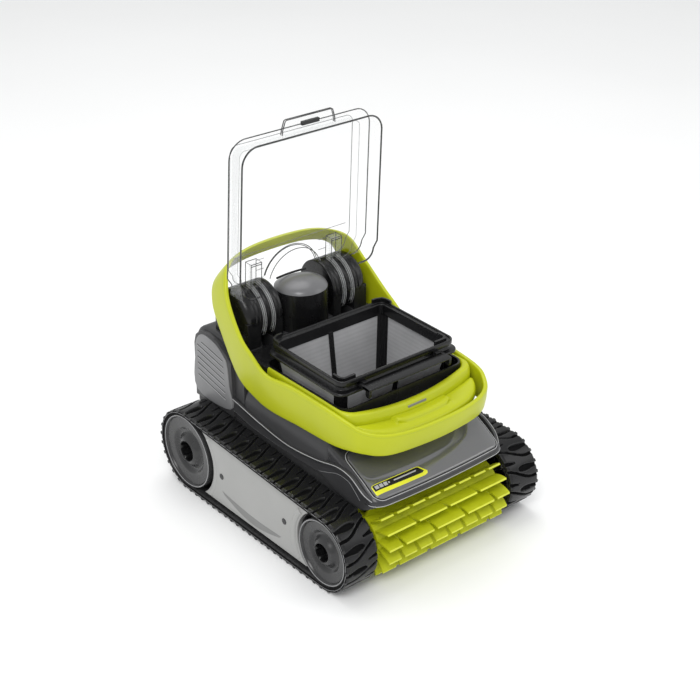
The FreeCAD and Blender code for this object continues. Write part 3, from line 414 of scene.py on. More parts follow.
def loop_at(at):
    """Point and outward normal on the belt loop, a distance along it from under the front axle."""
    if at < WHEELBASE:
        return FRONT_Y + at, FRONT_Z - FRONT_LOOP, 0.0, -1.0
    at -= WHEELBASE
    if at < REAR_ARC:
        a = -math.pi / 2 + at / REAR_LOOP
        return *polar(REAR_Y, REAR_Z, REAR_LOOP, a), math.cos(a), math.sin(a)
    at -= REAR_ARC
    ny, nz = -math.sin(TILT), math.cos(TILT)
    if at < TOP_RUN:
        return REAR_Y + REAR_LOOP * ny - at * nz, REAR_Z + REAR_LOOP * nz + at * ny, ny, nz
    a = math.pi / 2 + TILT + (at - TOP_RUN) / FRONT_LOOP
    return *polar(FRONT_Y, FRONT_Z, FRONT_LOOP, a), math.cos(a), math.sin(a)


def across_belt(share, side, section):
    """A cross-section of (x, rise) points, set across the belt at a share of its length."""
    y, z, ny, nz = loop_at(BELT_LENGTH * share)
    return [(side * x, y + ny * rise, z + nz * rise) for x, rise in section]


TREAD_UNITS = 34
TREAD_STEPS = 40
TREAD_ACROSS = 34
BEAD_STEPS = 360
NUBS = 66


def tread_height(unit, across):
    """0 in a groove, 1 on a lug. unit counts lugs along the belt; across is 0 outside, 1 inside."""
    sweep = 0.62 * smoothstep(0.18, 1.1, across)
    place = (unit + sweep) % 1.0
    seam = min(place, 1 - place)
    high = smoothstep(0.028, 0.075, seam)
    drop = abs((unit + 0.10 * across) % 1.0 - 0.54)
    if across < 0.64:
        half = 0.055 + 0.085 * smoothstep(0.0, 0.40, across)
        half *= math.sqrt(max(0.0, 1 - max(0.0, (across - 0.42) / 0.22) ** 2))
        if half > 0.01:
            high = min(high, smoothstep(half * 0.6, half + 0.04, drop))
    slit = abs((unit + 0.30 * across + 0.16) % 1.0 - 0.5)
    if across > 0.70:
        half = 0.015 + 0.06 * smoothstep(0.70, 1.0, across)
        high = min(high, smoothstep(half * 0.5, half + 0.04, slit))
    return high


def belt_section(unit):
    """The belt's cross-section from its outer edge to its inner one, as (x, rise)."""
    wide = TRACK_OUT - TRACK_IN
    section = [(TRACK_OUT - 0.6, 0.0), (TRACK_OUT, 0.6), (TRACK_OUT, BELT_WEB - 0.2)]
    for k in range(TREAD_ACROSS + 1):
        across = k / TREAD_ACROSS
        crown = 1.0 - 0.35 * (1 - smoothstep(0.0, 2.5, min(across, 1 - across) * wide))
        rise = BELT_WEB + LUG_HEIGHT * tread_height(unit, across) * crown
        section.append((TRACK_OUT - 0.3 - across * (wide - 0.6), rise))
    return section + [(TRACK_IN, BELT_WEB - 0.2), (TRACK_IN, 0.6), (TRACK_IN + 0.6, 0.0)]


def track_belt(name):
    bm = bmesh.new()
    steps = TREAD_UNITS * TREAD_STEPS
    rings = [across_belt(i / steps, SIDES[name], belt_section(i / TREAD_STEPS)) for i in range(steps)]
    skin(bm, rings)
    # Groove floors and the belt's outer side faces take the darker rubber: painted shade.
    for index, face in enumerate(bm.faces):
        unit, k = index // len(rings[0]) / TREAD_STEPS, index % len(rings[0]) - 3
        if k < 0 or k < TREAD_ACROSS and tread_height(unit, (k + 0.5) / TREAD_ACROSS) < 0.5:
            face.material_index = 1
    obj = piece("tread_belt_" + name, bm, [RUBBER, GROOVE_SHADE], smooth=50)
    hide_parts("track_belt_" + name)


def belt_edge(name):
    """The bead along the belt's outer edge, coloured light as a painted highlight, and the nubs that stand
    out beside it.
    """
    sign = SIDES[name]
    bead = bmesh.new()
    section = arc(TRACK_OUT - 0.1, BELT_WEB + 0.3, 0.45, 0, 360, 8)[:-1]
    skin(bead, [across_belt(i / BEAD_STEPS, sign, section) for i in range(BEAD_STEPS)])
    line = piece("tread_highlight_bead_" + name, bead, BEAD_HIGHLIGHT)
    nubs = bmesh.new()
    for i in range(NUBS):
        y, z, ny, nz = loop_at(BELT_LENGTH * i / NUBS)
        corners = [(y + nz * along + ny * rise, z - ny * along + nz * rise)
                   for along, rise in ((-2.6, 3.7), (2.6, 3.7), (2.0, 6.5), (-2.0, 6.5))]
        prism(nubs, corners, "x", sign * (TRACK_OUT - 3.0), sign * (TRACK_OUT + 1.0))
    nub = piece("tread_nubs_" + name, nubs, RUBBER, bevel=0.4, smooth=30)


# ---- wheels ----
WHEEL_STEPS = 128
WHEEL_IN = 119.6
WHEEL_OUT = 167.0
SOCKET_SHARE = 0.275
SOCKET_FLOOR = 152.0
AXLE_HOLE = 7.4


def disc_profile(rim, socket):
    """From the inner edge over the rolled rim, down the dish and up the cone to the socket."""
    brim, bottom, cone = rim * 0.68, rim * 0.52, socket + 2.2
    profile = [(WHEEL_IN, rim - 4), (WHEEL_IN, rim - 0.6), (WHEEL_IN + 0.6, rim), (165.2, rim),
               (166.6, rim - 0.5), (WHEEL_OUT, rim - 1.4), (166.6, rim - 2.4), (165.2, rim - 3.2),
               (163.6, rim - 4.2)]
    profile += [(blend(164.0, 162.8, k / 8), blend(rim - 4.6, brim, k / 8)) for k in range(9)]
    for x0, x1, r0, r1, steps in ((162.8, 158.0, brim, bottom, 12), (158.0, 166.6, bottom, cone, 6)):
        for k in range(1, steps + 1):
            profile.append((blend(x0, x1, smoothstep(0.0, 1.0, k / steps)), blend(r0, r1, k / steps)))
    return profile + [(167.1, socket + 1.4), (166.6, socket + 0.4)]


def lobed(radius, depth):
    """Radii of a ring with six inward lobes; depth 0 leaves it round."""
    turns = [2 * math.pi * i / WHEEL_STEPS for i in range(WHEEL_STEPS)]
    return [(a, radius - depth * (0.5 + 1.5 * max(0.0, math.cos(6 * a)) ** 2)) for a in turns]


def wheel(end, name, y, z, rim):
    """Dished disc with a raised cone round a lobed socket painted black as shade in the recess, and a light
    ring on the rim edge that is a painted highlight.
    """
    sign = SIDES[name]
    body = end + "_wheel_" + name
    socket = rim * SOCKET_SHARE
    bm = bmesh.new()
    lathe_x(bm, disc_profile(rim, socket), y, z, WHEEL_STEPS, 0, sign)
    # The socket's walls and floor take the black material: painted shade in the recess.
    rings = [[(sign * x, *polar(y, z, r, a)) for a, r in lobed(socket + 0.4, depth)]
             for x, depth in ((166.6, 0), (164.0, 1), (SOCKET_FLOOR, 1))]
    skin(bm, rings, closed=False, material=1)
    lathe_x(bm, [(SOCKET_FLOOR, socket + 0.4), (SOCKET_FLOOR - 0.4, AXLE_HOLE)], y, z, 64, 1, sign)
    obj = piece(end + "_disc_" + name, bm, [WHEEL, BLACK_AND_SHADE], body=body, smooth=40)
    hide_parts(body)
    bm = bmesh.new()
    # The light ring on the rim is a painted highlight.
    ring = [(166.9, rim - 0.9), (167.35, rim - 1.3), (167.35, rim - 1.9), (166.9, rim - 2.3)]
    lathe_x(bm, ring, y, z, WHEEL_STEPS, 0, sign, closed=True)
    edge = piece(end + "_disc_edge_" + name, bm, WHEEL_RIM_HIGHLIGHT, body=body)


# ---- side plates ----
SCREWS = ((-73.0, 61.0), (66.0, 61.0))
PLATE_FOOT = 12.6
PLATE_TOP_GAP = 1.2
RIDGE = 6.0


def plate_top(y, inset):
    """Height of the plate's sloping top edge."""
    ny, nz = -math.sin(TILT), math.cos(TILT)
    reach = FRONT_R - PLATE_TOP_GAP - inset
    return FRONT_Z + reach * nz + math.tan(TILT) * (y - (FRONT_Y + reach * ny))


def side_plate_outline(inset):
    """Side plate between the wheels: concave ends round them, the run's slope on top."""
    def concave(y, z, radius, toward):
        first = math.asin((PLATE_FOOT + inset - z) / radius)
        last = first
        while z + radius * math.sin(last) < plate_top(y + toward * radius * math.cos(last), inset):
            last += 0.002
        angles = [first + (last - first) * k / 24 for k in range(25)]
        return [(y + toward * radius * math.cos(a), z + radius * math.sin(a)) for a in angles]

    front = concave(FRONT_Y, FRONT_Z, FRONT_R + 6.8 + inset, 1)
    rear = concave(REAR_Y, REAR_Z, REAR_R + 7.4 + inset, -1)
    return front + rear[::-1]


def side_plate(name):
    bm = bmesh.new()
    levels = ((9.0, 0.0), (3.2, 0.0), (2.2, 0.5), (1.7, 1.6), (1.5, 4.2), (0.5, 6.2), (0.0, 9.0))
    tube(bm, [[(SIDES[name] * (PLATE_FACE - sunk), y, z) for y, z in side_plate_outline(inset)]
              for sunk, inset in levels])
    obj = piece("plate_" + name, bm, SIDE_GREY, smooth=25)
    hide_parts("side_plate_" + name)


def plate_crescent(name):
    """A darker smile-shaped patch low on the plate: painted shade where the face turns downward."""
    bm = bmesh.new()
    upper, lower = [], []
    for k in range(25):
        y, z = blend(66.0, -66.0, k / 24), blend(38.0, 33.0, k / 24)
        arch = math.sin(math.pi * k / 24)
        upper.append((y, z - 4.0 * arch))
        lower.append((y, z - 3.0 - 13.0 * arch ** 1.1))
    sign = SIDES[name]
    prism(bm, upper + lower[::-1][1:-1], "x", sign * (PLATE_FACE - 1.0), sign * (PLATE_FACE + 0.15))
    shade = piece("plate_crescent_" + name, bm, SIDE_PAINTED_SHADE)


def plate_screws(name):
    bm = bmesh.new()
    face = PLATE_FACE
    # The black ring and dark head are painted shade of the recesses the screws sit in.
    ring = [(face - 0.4, 4.5), (face + 0.3, 4.4), (face + 0.3, 4.0), (face + 0.06, 3.7)]
    head = [(face + 0.06, 3.7), (face + 0.3, 3.1), (face + 0.36, 1.5), (face + 0.1, 1.3), (face + 0.1, 0.01)]
    for y, z in SCREWS:
        lathe_x(bm, ring, y, z, 40, 0, SIDES[name])
        lathe_x(bm, head, y, z, 40, 1, SIDES[name])
    heads = piece("plate_screws_" + name, bm, [BLACK_AND_SHADE, DARK_AND_SHADE])


def plate_ridges(name):
    """Soft ridges that follow the plate's concave ends."""
    for tag, y0, z0, radius, toward in (("front", FRONT_Y, FRONT_Z, FRONT_R + 14.0, 1),
                                        ("rear", REAR_Y, REAR_Z, REAR_R + 15.0, -1)):
        border = []
        for y, z in arc(0.0, z0, radius, -80, 80, 64):
            y = y0 + toward * y
            if PLATE_FOOT + 5.9 < z < plate_top(y, 5.0):
                border.append((SIDES[name] * (PLATE_FACE - RIDGE + 1.1), y, z))
        ridge = wire("plate_" + tag + "_ridge_" + name, [border], RIDGE, SIDE_GREY, sides=40)


for where in SIDES:
    track_belt(where)
    belt_edge(where)
    wheel("front", where, FRONT_Y, FRONT_Z, FRONT_R)
    wheel("rear", where, REAR_Y, REAR_Z, REAR_R)
    side_plate(where)
    plate_crescent(where)
    plate_screws(where)
    plate_ridges(where)


# ---- carry handle ----
# the band's edges on its outer face, from the middle of the front to the middle of the back
HANDLE_TOP = ((0, -190.5, 205), (40, -188.6, 205), (73, -182.2, 206), (94, -172, 208), (107.5, -156.5, 211.5),
              (115, -137, 217.6), (118, -99, 222), (121, -30, 225), (126, 16, 224.5), (127, 47, 242),
              (126, 73, 260), (119, 106, 294), (109, 123, 319), (92, 139, 330), (56, 151, 338), (0, 155, 340))
HANDLE_LOW = ((0, -183, 173), (38, -181, 173), (70, -176.4, 173), (90, -169.5, 174.8), (103.5, -157.5, 177),
              (111.5, -140, 176.4), (115, -105, 171.5), (115, -41, 168), (115, 20, 164), (116, 55, 170),
              (119, 88, 190), (118, 123, 238), (113, 150, 275), (98, 162, 302), (60, 164, 316), (0, 162, 321))
HANDLE_THICK = 6.0


def mirrored(half):
    right = [Vector(p) for p in half]
    return right + [Vector((-p.x, p.y, p.z)) for p in right[1:-1]][::-1]


def handle_section():
    """Flat oval with squared ends, as (across, height) from -1 to 1."""
    section = []
    for k in range(28):
        c, s = polar(0, 0, 1, 2 * math.pi * k / 28)
        section.append((math.copysign(abs(c) ** 0.45, c), math.copysign(abs(s) ** 0.16, s)))
    return section


def carry_handle():
    bm = bmesh.new()
    top = smooth_curve(mirrored(HANDLE_TOP), 9)
    low = smooth_curve(mirrored(HANDLE_LOW), 9)
    rings, crease = [], []
    for i in range(len(top)):
        forward = top[(i + 1) % len(top)] - top[i - 1]
        along = forward + low[(i + 1) % len(top)] - low[i - 1]
        inward = Vector((-along.y, along.x, 0)).normalized()
        up = top[i] - low[i]
        middle = (top[i] + low[i]) / 2 + inward * HANDLE_THICK / 2
        ring = []
        for across, height in handle_section():
            bulge = -1.2 * (1 - height ** 2) if across < 0 else 0.0
            ring.append(middle + up * (height / 2) + inward * (across * HANDLE_THICK / 2 + bulge))
        rings.append(ring)
        crease.append(top[i] - up * 0.11 + Vector((forward.y, -forward.x, 0)).normalized() * 0.05)
    skin(bm, rings)
    obj = piece("handle_band", bm, LIME, smooth=60)
    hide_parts("carry_handle")
    # The darker lime crease line is painted shade in the groove.
    line = wire("handle_crease_shade", [crease], 0.45, LIME_PAINTED_SHADE, closed=True)


carry_handle()


# ---- filter basket ----
RIM_TILT = math.atan2(3.0, 148.0)
RIM_Y, RIM_Z = -30.0, 244.0
BASKET_LOW = 132.0
BASKET_HIGH = 236.0


def leaned(p, y0, z0, angle):
    """A point turned about the line along X through (y0, z0)."""
    y, z = p[1] - y0, p[2] - z0
    c, s = math.cos(angle), math.sin(angle)
    return Vector((p[0], y0 + y * c - z * s, z0 + y * s + z * c))


def tilted(p):
    """The basket's rim slopes down to the front by just over a degree."""
    return leaned(p, RIM_Y, RIM_Z, RIM_TILT)


def wall_at(z, grow):
    t = (z - BASKET_LOW) / (BASKET_HIGH - BASKET_LOW)
    return rounded(82 + 14 * t + grow, -84 - 18 * t - grow, 22 + 15 * t + grow, 10.0 + grow)


def loop_rings(profile):
    """Rings from (half_x, y0, y1, corner, z) rows."""
    return [[(x, y, z) for x, y in rounded(h, y0, y1, c)] for h, y0, y1, c, z in profile]


def corner_post(z, corner):
    """Outline of a post that wraps one corner of the wall, 2.5 mm past the rounding each way."""
    sides = []
    for grow in (0.2, -3.0):
        outline = [Vector(p) for p in wall_at(z, grow)]
        bend = outline[9 * corner:9 * corner + 9]
        start = bend[0] + (outline[9 * corner - 1] - bend[0]).normalized() * 2.5
        end = bend[-1] + (outline[(9 * corner + 9) % 36] - bend[-1]).normalized() * 2.5
        sides.append([start] + bend + [end])
    return [(p.x, p.y, z) for p in sides[0] + sides[1][::-1]]


def basket_posts(bm):
    """The frame's upright bars: one round each corner, one in the middle of the front and back."""
    ends = (133.0, 238.0)
    for corner in range(4):
        tube(bm, [corner_post(z, corner) for z in ends])
    for toward, extreme in ((-1, min), (1, max)):
        levels = []
        for z in ends:
            y = extreme(p[1] for p in wall_at(z, 0.2))
            levels.append([(-4, y, z), (4, y, z), (4, y - toward * 3.2, z), (-4, y - toward * 3.2, z)])
        tube(bm, levels)


LIP = ((97.6, 22.0), (97.6, 31.5), (95.0, 38.5), (86.0, 42.6), (78.0, 42.6), (78.0, 39.6), (86.0, 39.4),
       (92.4, 36.4), (94.6, 31.0), (94.6, 22.0))
HOOK = ((91.0, -80.0), (91.0, -93.0), (86.0, -99.0), (68.0, -99.0), (68.0, -95.4), (84.5, -95.4),
        (87.4, -92.0), (87.4, -80.0))


def basket_lips(bm):
    """Raised corners at the back of the rim, hooks at its front and the bail's stops."""
    for side in SIDES.values():
        lip = [(side * x, y) for x, y in LIP]
        levels = [[(x, y, z) for x, y in lip] for z in (253.6, 258.0)]
        tube(bm, levels + [[(x * 0.998, y * 0.998 + 0.05, 259.6) for x, y in lip]])
        tube(bm, [[(side * x, y, z) for x, y in HOOK] for z in (243.0, 255.2, 256.0)])
        block(bm, side * 62 - 3.5, side * 62 + 3.5, -112, -104, 239.0, 248.0)


def basket():
    bm = bmesh.new()
    skin(bm, loop_rings(((102.2, -109.2, 44.2, 13.2, 236.0), (103.0, -110.0, 45.0, 14.0, 236.8),
                         (103.0, -110.0, 45.0, 14.0, 239.0), (102.2, -109.2, 44.2, 13.4, 240.0),
                         (99.0, -106.0, 41.0, 12.0, 240.4), (96.6, -103.4, 39.4, 11.0, 241.6),
                         (95.6, -102.6, 39.0, 10.5, 244.0), (95.8, -102.8, 39.4, 10.5, 246.4),
                         (97.2, -105.2, 42.2, 11.4, 247.6), (98.0, -106.0, 43.0, 12.0, 248.6),
                         (98.0, -106.0, 43.0, 12.0, 253.4), (97.5, -105.5, 42.5, 11.5, 254.3),
                         (96.6, -104.6, 41.6, 10.6, 254.6), (95.4, -103.4, 40.4, 9.4, 254.5),
                         (94.8, -102.8, 39.8, 9.0, 253.9), (94.4, -102.4, 39.4, 8.6, 252.4),
                         (91.4, -99.4, 36.4, 6.0, 252.0), (90.6, -98.6, 35.6, 5.4, 251.4),
                         (90.2, -98.2, 35.2, 5.0, 250.0), (90.0, -97.6, 34.8, 5.0, 238.0),
                         (91.5, -98.0, 34.0, 6.0, 236.0))))
    skin(bm, [[(x, y, z) for x, y in wall_at(z, grow)]
              for z, grow in ((132.0, 0.0), (137.0, 0.0), (137.0, -9.0), (132.0, -9.0))])
    basket_posts(bm)
    basket_lips(bm)
    reshape(bm, tilted)
    obj = piece("basket_rim", bm, BLACK_AND_SHADE, body="basket", smooth=40, bevel=0.35)
    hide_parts("basket_frame")
    bm = bmesh.new()
    skin(bm, [[(x, y, z) for x, y in wall_at(z, grow)]
              for z, grow in ((136.5, -0.8), (237.5, -0.8), (237.5, -1.8), (136.5, -1.8))])
    reshape(bm, tilted)
    net = piece("basket_net", bm, CLOTH, body="basket", smooth=40)
    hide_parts("basket_mesh")


def basket_bail():
    """Wide flat drop handle over the front of the rim, with hooked ends."""
    bm = bmesh.new()
    rows = []
    for y, low, high in ((-128.4, 243.4, 244.8), (-127.6, 242.6, 245.9), (-123.0, 242.5, 246.5),
                         (-117.0, 242.6, 246.6), (-113.6, 242.8, 246.0)):
        rows.append([(-70.0, y, low), (70.0, y, low), (70.0, y, high), (-70.0, y, high)])
    tube(bm, rows)
    for side in SIDES.values():
        tab = [(-128.2, 246.0), (-121.0, 246.2), (-119.8, 236.5), (-122.0, 233.0), (-126.4, 233.0),
               (-128.2, 236.0)]
        prism(bm, tab, "x", side * 66.2, side * 70.0)
        arm = [(-122.0, 241.5), (-122.0, 246.5), (-108.0, 246.5), (-105.6, 244.6), (-105.6, 243.0),
               (-108.0, 241.5)]
        prism(bm, arm, "x", side * 66.0, side * 70.0)
        lathe_x(bm, [(59, 0.01), (59, 2.3), (68, 2.3), (68, 0.01)], -108.0, 244.0, 24, 0, side)
    reshape(bm, tilted)
    obj = piece("bail", bm, BLACK_AND_SHADE, body="basket_bail", smooth=30, bevel=0.6)
    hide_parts("basket_handle")


basket()
basket_bail()


# ---- lime bezel and its front ledge ----
def u_outline(half_x, y0, corner, back):
    side = [back + (y0 + corner - back) * k / 12 for k in range(12)]
    points = [(half_x, y) for y in side] + arc(half_x - corner, y0 + corner, corner, 0, -90, 10)
    points += [((half_x - corner) * (1 - k / 15), y0) for k in range(1, 30)]
    points += arc(corner - half_x, y0 + corner, corner, 270, 180, 10) + [(-half_x, y) for y in side[::-1]]
    return points


def bellied(x, y, z):
    """The front of the bezel bows forward and dips towards the middle."""
    share = max(0.0, 1 - (x / 109.0) ** 2) * smoothstep(-60.0, -119.0, y)
    return (x, y - 10.0 * share, z - 11.0 * share)


LEDGE_UNDER = ((-156.0, 207.4), (-160.2, 205.8), (-161.8, 202.6), (-161.9, 197.0), (-159.6, 192.6),
               (-152.0, 190.6), (-140.0, 190.4), (-130.0, 193.0))
LEDGE_PLAIN = ((-128.0, 200.0), (-131.5, 206.0), (-132.6, 208.2), (-135.5, 208.8), (-141.0, 208.7),
               (-145.6, 208.5), (-147.6, 208.4), (-149.0, 208.3), (-151.0, 208.1)) + LEDGE_UNDER
LEDGE_RAISED = ((-128.0, 200.0), (-131.5, 209.0), (-132.6, 212.2), (-135.5, 213.2), (-141.0, 213.6),
                (-145.6, 213.4), (-148.0, 212.4), (-149.2, 210.4), (-150.2, 208.6)) + LEDGE_UNDER
LEDGE_CORE = Vector((-141.0, 200.0))
LEDGE_PINCH = {100.0: 2.0, 99.6: 0.9, 98.0: 0.2}


def ledge_ring(x):
    """The ledge's section: raised in its middle, drawn back at its corners, rounded at its ends."""
    share = 1 - smoothstep(43.0, 47.0, abs(x))
    nose = 13.0 * quarter_round((abs(x) - 32.0) / 14.5)
    corner = 34.0 * quarter_round((abs(x) - 58.0) / 45.0)
    ring = []
    for k, (plain, raised) in enumerate(zip(LEDGE_PLAIN, LEDGE_RAISED)):
        y, z = blend(plain[0], raised[0], share), blend(plain[1], raised[1], share)
        if 4 <= k <= 8:
            y += min(nose, 12.0) * share * (k - 3) / 5
        y += corner * min(1.0, max(0.0, (-134.0 - y) / 26.0))
        inward = (LEDGE_CORE - Vector((y, z))).normalized() * LEDGE_PINCH.get(abs(x), 0.0)
        ring.append(bellied(x, y + inward.x, z + inward.y))
    return ring


POCKET_HALF = 16.4
POCKET_LOW, POCKET_HIGH = 203.2, 207.6
POCKET_BACK = -133.0


def catch_pocket(bm):
    """Sinks a slot for the catch into the raised part's back face; its faces are painted dark as shade in the
    recess.
    """
    cuts = [((x, 0, 0), (1, 0, 0)) for x in (-POCKET_HALF, POCKET_HALF)]
    cuts += [((0, 0, z), (0, 0, 1)) for z in (POCKET_LOW, POCKET_HIGH)]
    for place, normal in cuts:
        everything = bm.verts[:] + bm.edges[:] + bm.faces[:]
        bmesh.ops.bisect_plane(bm, geom=everything, plane_co=place, plane_no=normal)
    picked = []
    for face in bm.faces:
        x, y, z = face.calc_center_median()
        inside = abs(x) < POCKET_HALF and POCKET_LOW < z < POCKET_HIGH and -142.6 < y < -137.0
        if inside and face.normal.y < -0.2:
            picked.append(face)
    # The slot's new faces take the dark material: painted shade in the recess.
    for item in bmesh.ops.extrude_face_region(bm, geom=picked)["geom"]:
        if isinstance(item, bmesh.types.BMVert):
            item.co.y = POCKET_BACK
        elif isinstance(item, bmesh.types.BMFace):
            item.material_index = 1
    bmesh.ops.delete(bm, geom=[face for face in picked if face.is_valid], context="FACES_ONLY")


def bezel():
    bm = bmesh.new()
    rows = ((109.0, -132.0, 14.0, 205.0), (109.0, -132.0, 14.0, 212.0), (109.0, -131.2, 14.0, 214.6),
            (108.8, -129.8, 13.6, 217.2), (108.2, -128.6, 13.2, 219.8), (107.3, -127.2, 12.8, 221.5),
            (106.2, -124.6, 13.0, 222.3), (105.2, -121.2, 14.6, 222.2), (104.3, -119.4, 15.6, 221.2),
            (104.0, -119.0, 16.0, 219.6), (104.0, -119.0, 16.0, 205.0))
    rings = [[bellied(x, y, z) for x, y in u_outline(h, y0, c, 33.7)] for h, y0, c, z in rows]
    skin(bm, rings, around=False, cap=True)
    ends = sorted(LEDGE_PINCH)
    stations = [-x for x in ends[::-1]] + [x * 1.5 for x in range(-64, 65)] + ends
    tube(bm, [ledge_ring(x) for x in stations])
    catch_pocket(bm)
    obj = piece("bezel_surround", bm, [LIME, DARK_AND_SHADE], smooth=50)
    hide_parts("bezel_ledge")


def catch_bar():
    bm = bmesh.new()
    block(bm, -15.6, 15.6, -140.8, -138.6, 203.7, 207.1)
    tongue = piece("catch_bar", bm, VENT_GREY_AND_HIGHLIGHT, body="catch", bevel=0.4)
    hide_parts("catch_tongue")


bezel()
catch_bar()


# ---- body, fenders and hood ----
def body_shell():
    """Four walls, waisted above the fenders: the outer face upwards, then the inner one down."""
    bm = bmesh.new()
    rows = [(half, y0, 84.0, 5.0, z) for half, y0, z in
            ((113.0, -98.0, 118.0), (113.0, -98.0, 146.0), (112.6, -97.8, 152.0), (111.2, -97.4, 158.0),
             (109.2, -97.0, 162.5), (107.6, -96.8, 167.0), (107.0, -96.6, 173.0), (107.0, -96.6, 204.8))]
    rows += [(half, -95.0, 82.0, 5.0, z)
             for half, z in ((104.2, 204.8), (104.2, 170.0), (110.0, 148.0), (110.0, 118.0))]
    skin(bm, loop_rings(rows))
    obj = piece("body_wrap", bm, DARK_AND_SHADE, smooth=50)
    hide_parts("body_shell")


FENDER_FOOT = ((104, 128), (88, 126), (60, 121), (-15, 118.6), (-75, 121), (-98, 127), (-120, 135),
               (-140, 134.5), (-150, 129), (-164, 117))
FENDER_LOW = ((104, 128), (88, 126), (60, 121), (-15, 118.6), (-75, 119), (-100, 112), (-122, 106),
              (-146, 103), (-168, 105), (-184, 112.6))
FENDER_TOP = ((104, 147), (92, 145), (45, 137), (-16, 131), (-76, 137), (-118, 146.5), (-143, 145.5),
              (-160, 137.5), (-176, 126), (-187, 117.6))
# (x, share of the way up)
FENDER_SECTION = ((112.6, 0.0), (115.6, 0.02), (116.4, 0.08), (116.0, 0.2), (115.0, 0.6), (115.2, 0.8),
                  (116.6, 0.92), (117.2, 0.97), (116.6, 1.01), (114.6, 1.03), (112.6, 1.03))


def swept(y):
    """How far the fender draws in towards the corner of the hood."""
    return 11.0 * max(0.0, (-164.0 - y) / 23.0) ** 2


def fender(name):
    sign = SIDES[name]
    low = smooth_curve([(0, y, z) for y, z in FENDER_LOW], 8, closed=False)
    top = smooth_curve([(0, y, z) for y, z in FENDER_TOP], 8, closed=False)
    bm = bmesh.new()
    rings = []
    for a, b in zip(low, top):
        points = [(x, a.lerp(b, t)) for x, t in FENDER_SECTION]
        rings.append([(sign * (x - swept(p.y)), p.y, p.z) for x, p in points])
    tube(bm, rings)
    obj = piece("fender_" + name, bm, DARK_AND_SHADE, smooth=45)
    if name == "left":
        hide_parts("fenders")
    foot = smooth_curve([(0, y, z) for y, z in FENDER_FOOT], 8, closed=False)
    # The light lines along the fender's top edge and its foot are painted highlights.
    path = [(sign * (117.0 - swept(p.y)), p.y, p.z) for p in top]
    line = wire("fender_highlight_line_" + name, [path], 0.55, HIGHLIGHT_AND_PRINT_GREY)
    path = [(sign * (115.6 - swept(p.y)), p.y, p.z + 0.6) for p in foot]
    line = wire("fender_foot_highlight_" + name, [path], 0.4, VENT_GREY_AND_HIGHLIGHT)


HOOD_LIP = -196.0
HOOD_BACK = -98.0
HOOD_FOOT = 118.0
HOOD_HALF = 113.0
HOOD_CORNER = 22.0
HOOD_SHOULDER = 9.0
HOOD_TOP = ((HOOD_LIP, 119), (-194.6, 122), (-190.5, 125.4), (-180, 131), (-165, 139.2), (-145, 148.6),
            (-125, 157.4), (HOOD_BACK, 168))
HOOD_ROLL = ((8.0, 3.0), (5.4, 4.4), (2.6, 4.2), (0.6, 2.6))


def stretched(y, lip):
    """Moves a place between the back and the straight lip to suit a lip that is elsewhere."""
    return HOOD_BACK + (y - HOOD_BACK) * (lip - HOOD_BACK) / (HOOD_LIP - HOOD_BACK)


def bowed(x, y):
    """The lip bows out to the front by 4 mm in the middle, and what lies behind it follows."""
    return stretched(y, HOOD_LIP + 4.0 * (x / 106.0) ** 2)


def hood_front(x):
    """Where the lip is, swept back round the corners."""
    share = (abs(x) - (HOOD_HALF - HOOD_CORNER)) / HOOD_CORNER
    return bowed(x, HOOD_LIP) + HOOD_CORNER * 0.62 * quarter_round(share)


def shoulder_drop(x):
    """How far the hood rounds down towards its sides."""
    return 6.0 * quarter_round((abs(x) - (HOOD_HALF - HOOD_SHOULDER)) / HOOD_SHOULDER)


def hood_height(x, y):
    flat = HOOD_BACK + (y - HOOD_BACK) * (HOOD_LIP - HOOD_BACK) / (hood_front(x) - HOOD_BACK)
    return interpolate(HOOD_TOP, flat) - shoulder_drop(x)


def hood():
    bm = bmesh.new()
    curve = smooth_curve([(0, y, z) for y, z in HOOD_TOP], 4, closed=False)
    stations = [HOOD_HALF * math.sin(math.pi / 2 * k / 30) for k in range(-30, 31)]
    rings = []
    for x in stations:
        front, drop = hood_front(x), shoulder_drop(x)
        ring = [(x, front + back, curve[0].z - down) for back, down in HOOD_ROLL]
        ring += [(x, stretched(p.y, front), p.z - drop * min(1.0, (p.z - HOOD_FOOT) / 12)) for p in curve]
        rings.append(ring + [(x, HOOD_BACK, 160.0 - drop)])
    skin(bm, rings, closed=False, around=False)
    for ring in (rings[0], rings[-1]):
        skin(bm, [ring, [(x, y, HOOD_FOOT) for x, y, z in ring]], closed=False, around=False)
    obj = piece("hood_cover", bm, HOOD_DARK, smooth=50)
    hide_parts("front_hood")
    shell = obj.modifiers.new("wall", "SOLIDIFY")
    shell.thickness = 2.6 * MM
    shell.offset = -1.0
    # The light line under the hood's lip is a painted highlight.
    lip = [(x, hood_front(x) - 0.1, HOOD_TOP[0][1] - 2.4) for x in stations]
    line = wire("hood_lip_highlight", [lip], 0.5, HIGHLIGHT_AND_PRINT_GREY)


def on_hood(x, y, rise):
    y = bowed(x, y)
    return (x, y, hood_height(x, y) + rise)


def draped(bm, outline, rise, sink, material=0, rings=10):
    """A plate with this outline that follows the hood."""
    cx = sum(p[0] for p in outline) / len(outline)
    cy = sum(p[1] for p in outline) / len(outline)
    edge = 0.012
    flat = 1.0 - 2 * edge
    levels = [(1.0, sink), (1.0, rise - 0.55), (1.0 - edge, rise - 0.15), (flat, rise)]
    levels += [(flat * (1 - k / rings) + 0.001, rise) for k in range(1, rings)]
    tube(bm, [[on_hood(blend(cx, x, scale), blend(cy, y, scale), high) for x, y in outline]
              for scale, high in levels], material)


def densify(outline, step=3.0):
    out = []
    for k, p in enumerate(outline):
        q = outline[(k + 1) % len(outline)]
        count = max(1, int(math.dist(p, q) / step))
        out += [(p[0] + (q[0] - p[0]) * j / count, p[1] + (q[1] - p[1]) * j / count) for j in range(count)]
    return out


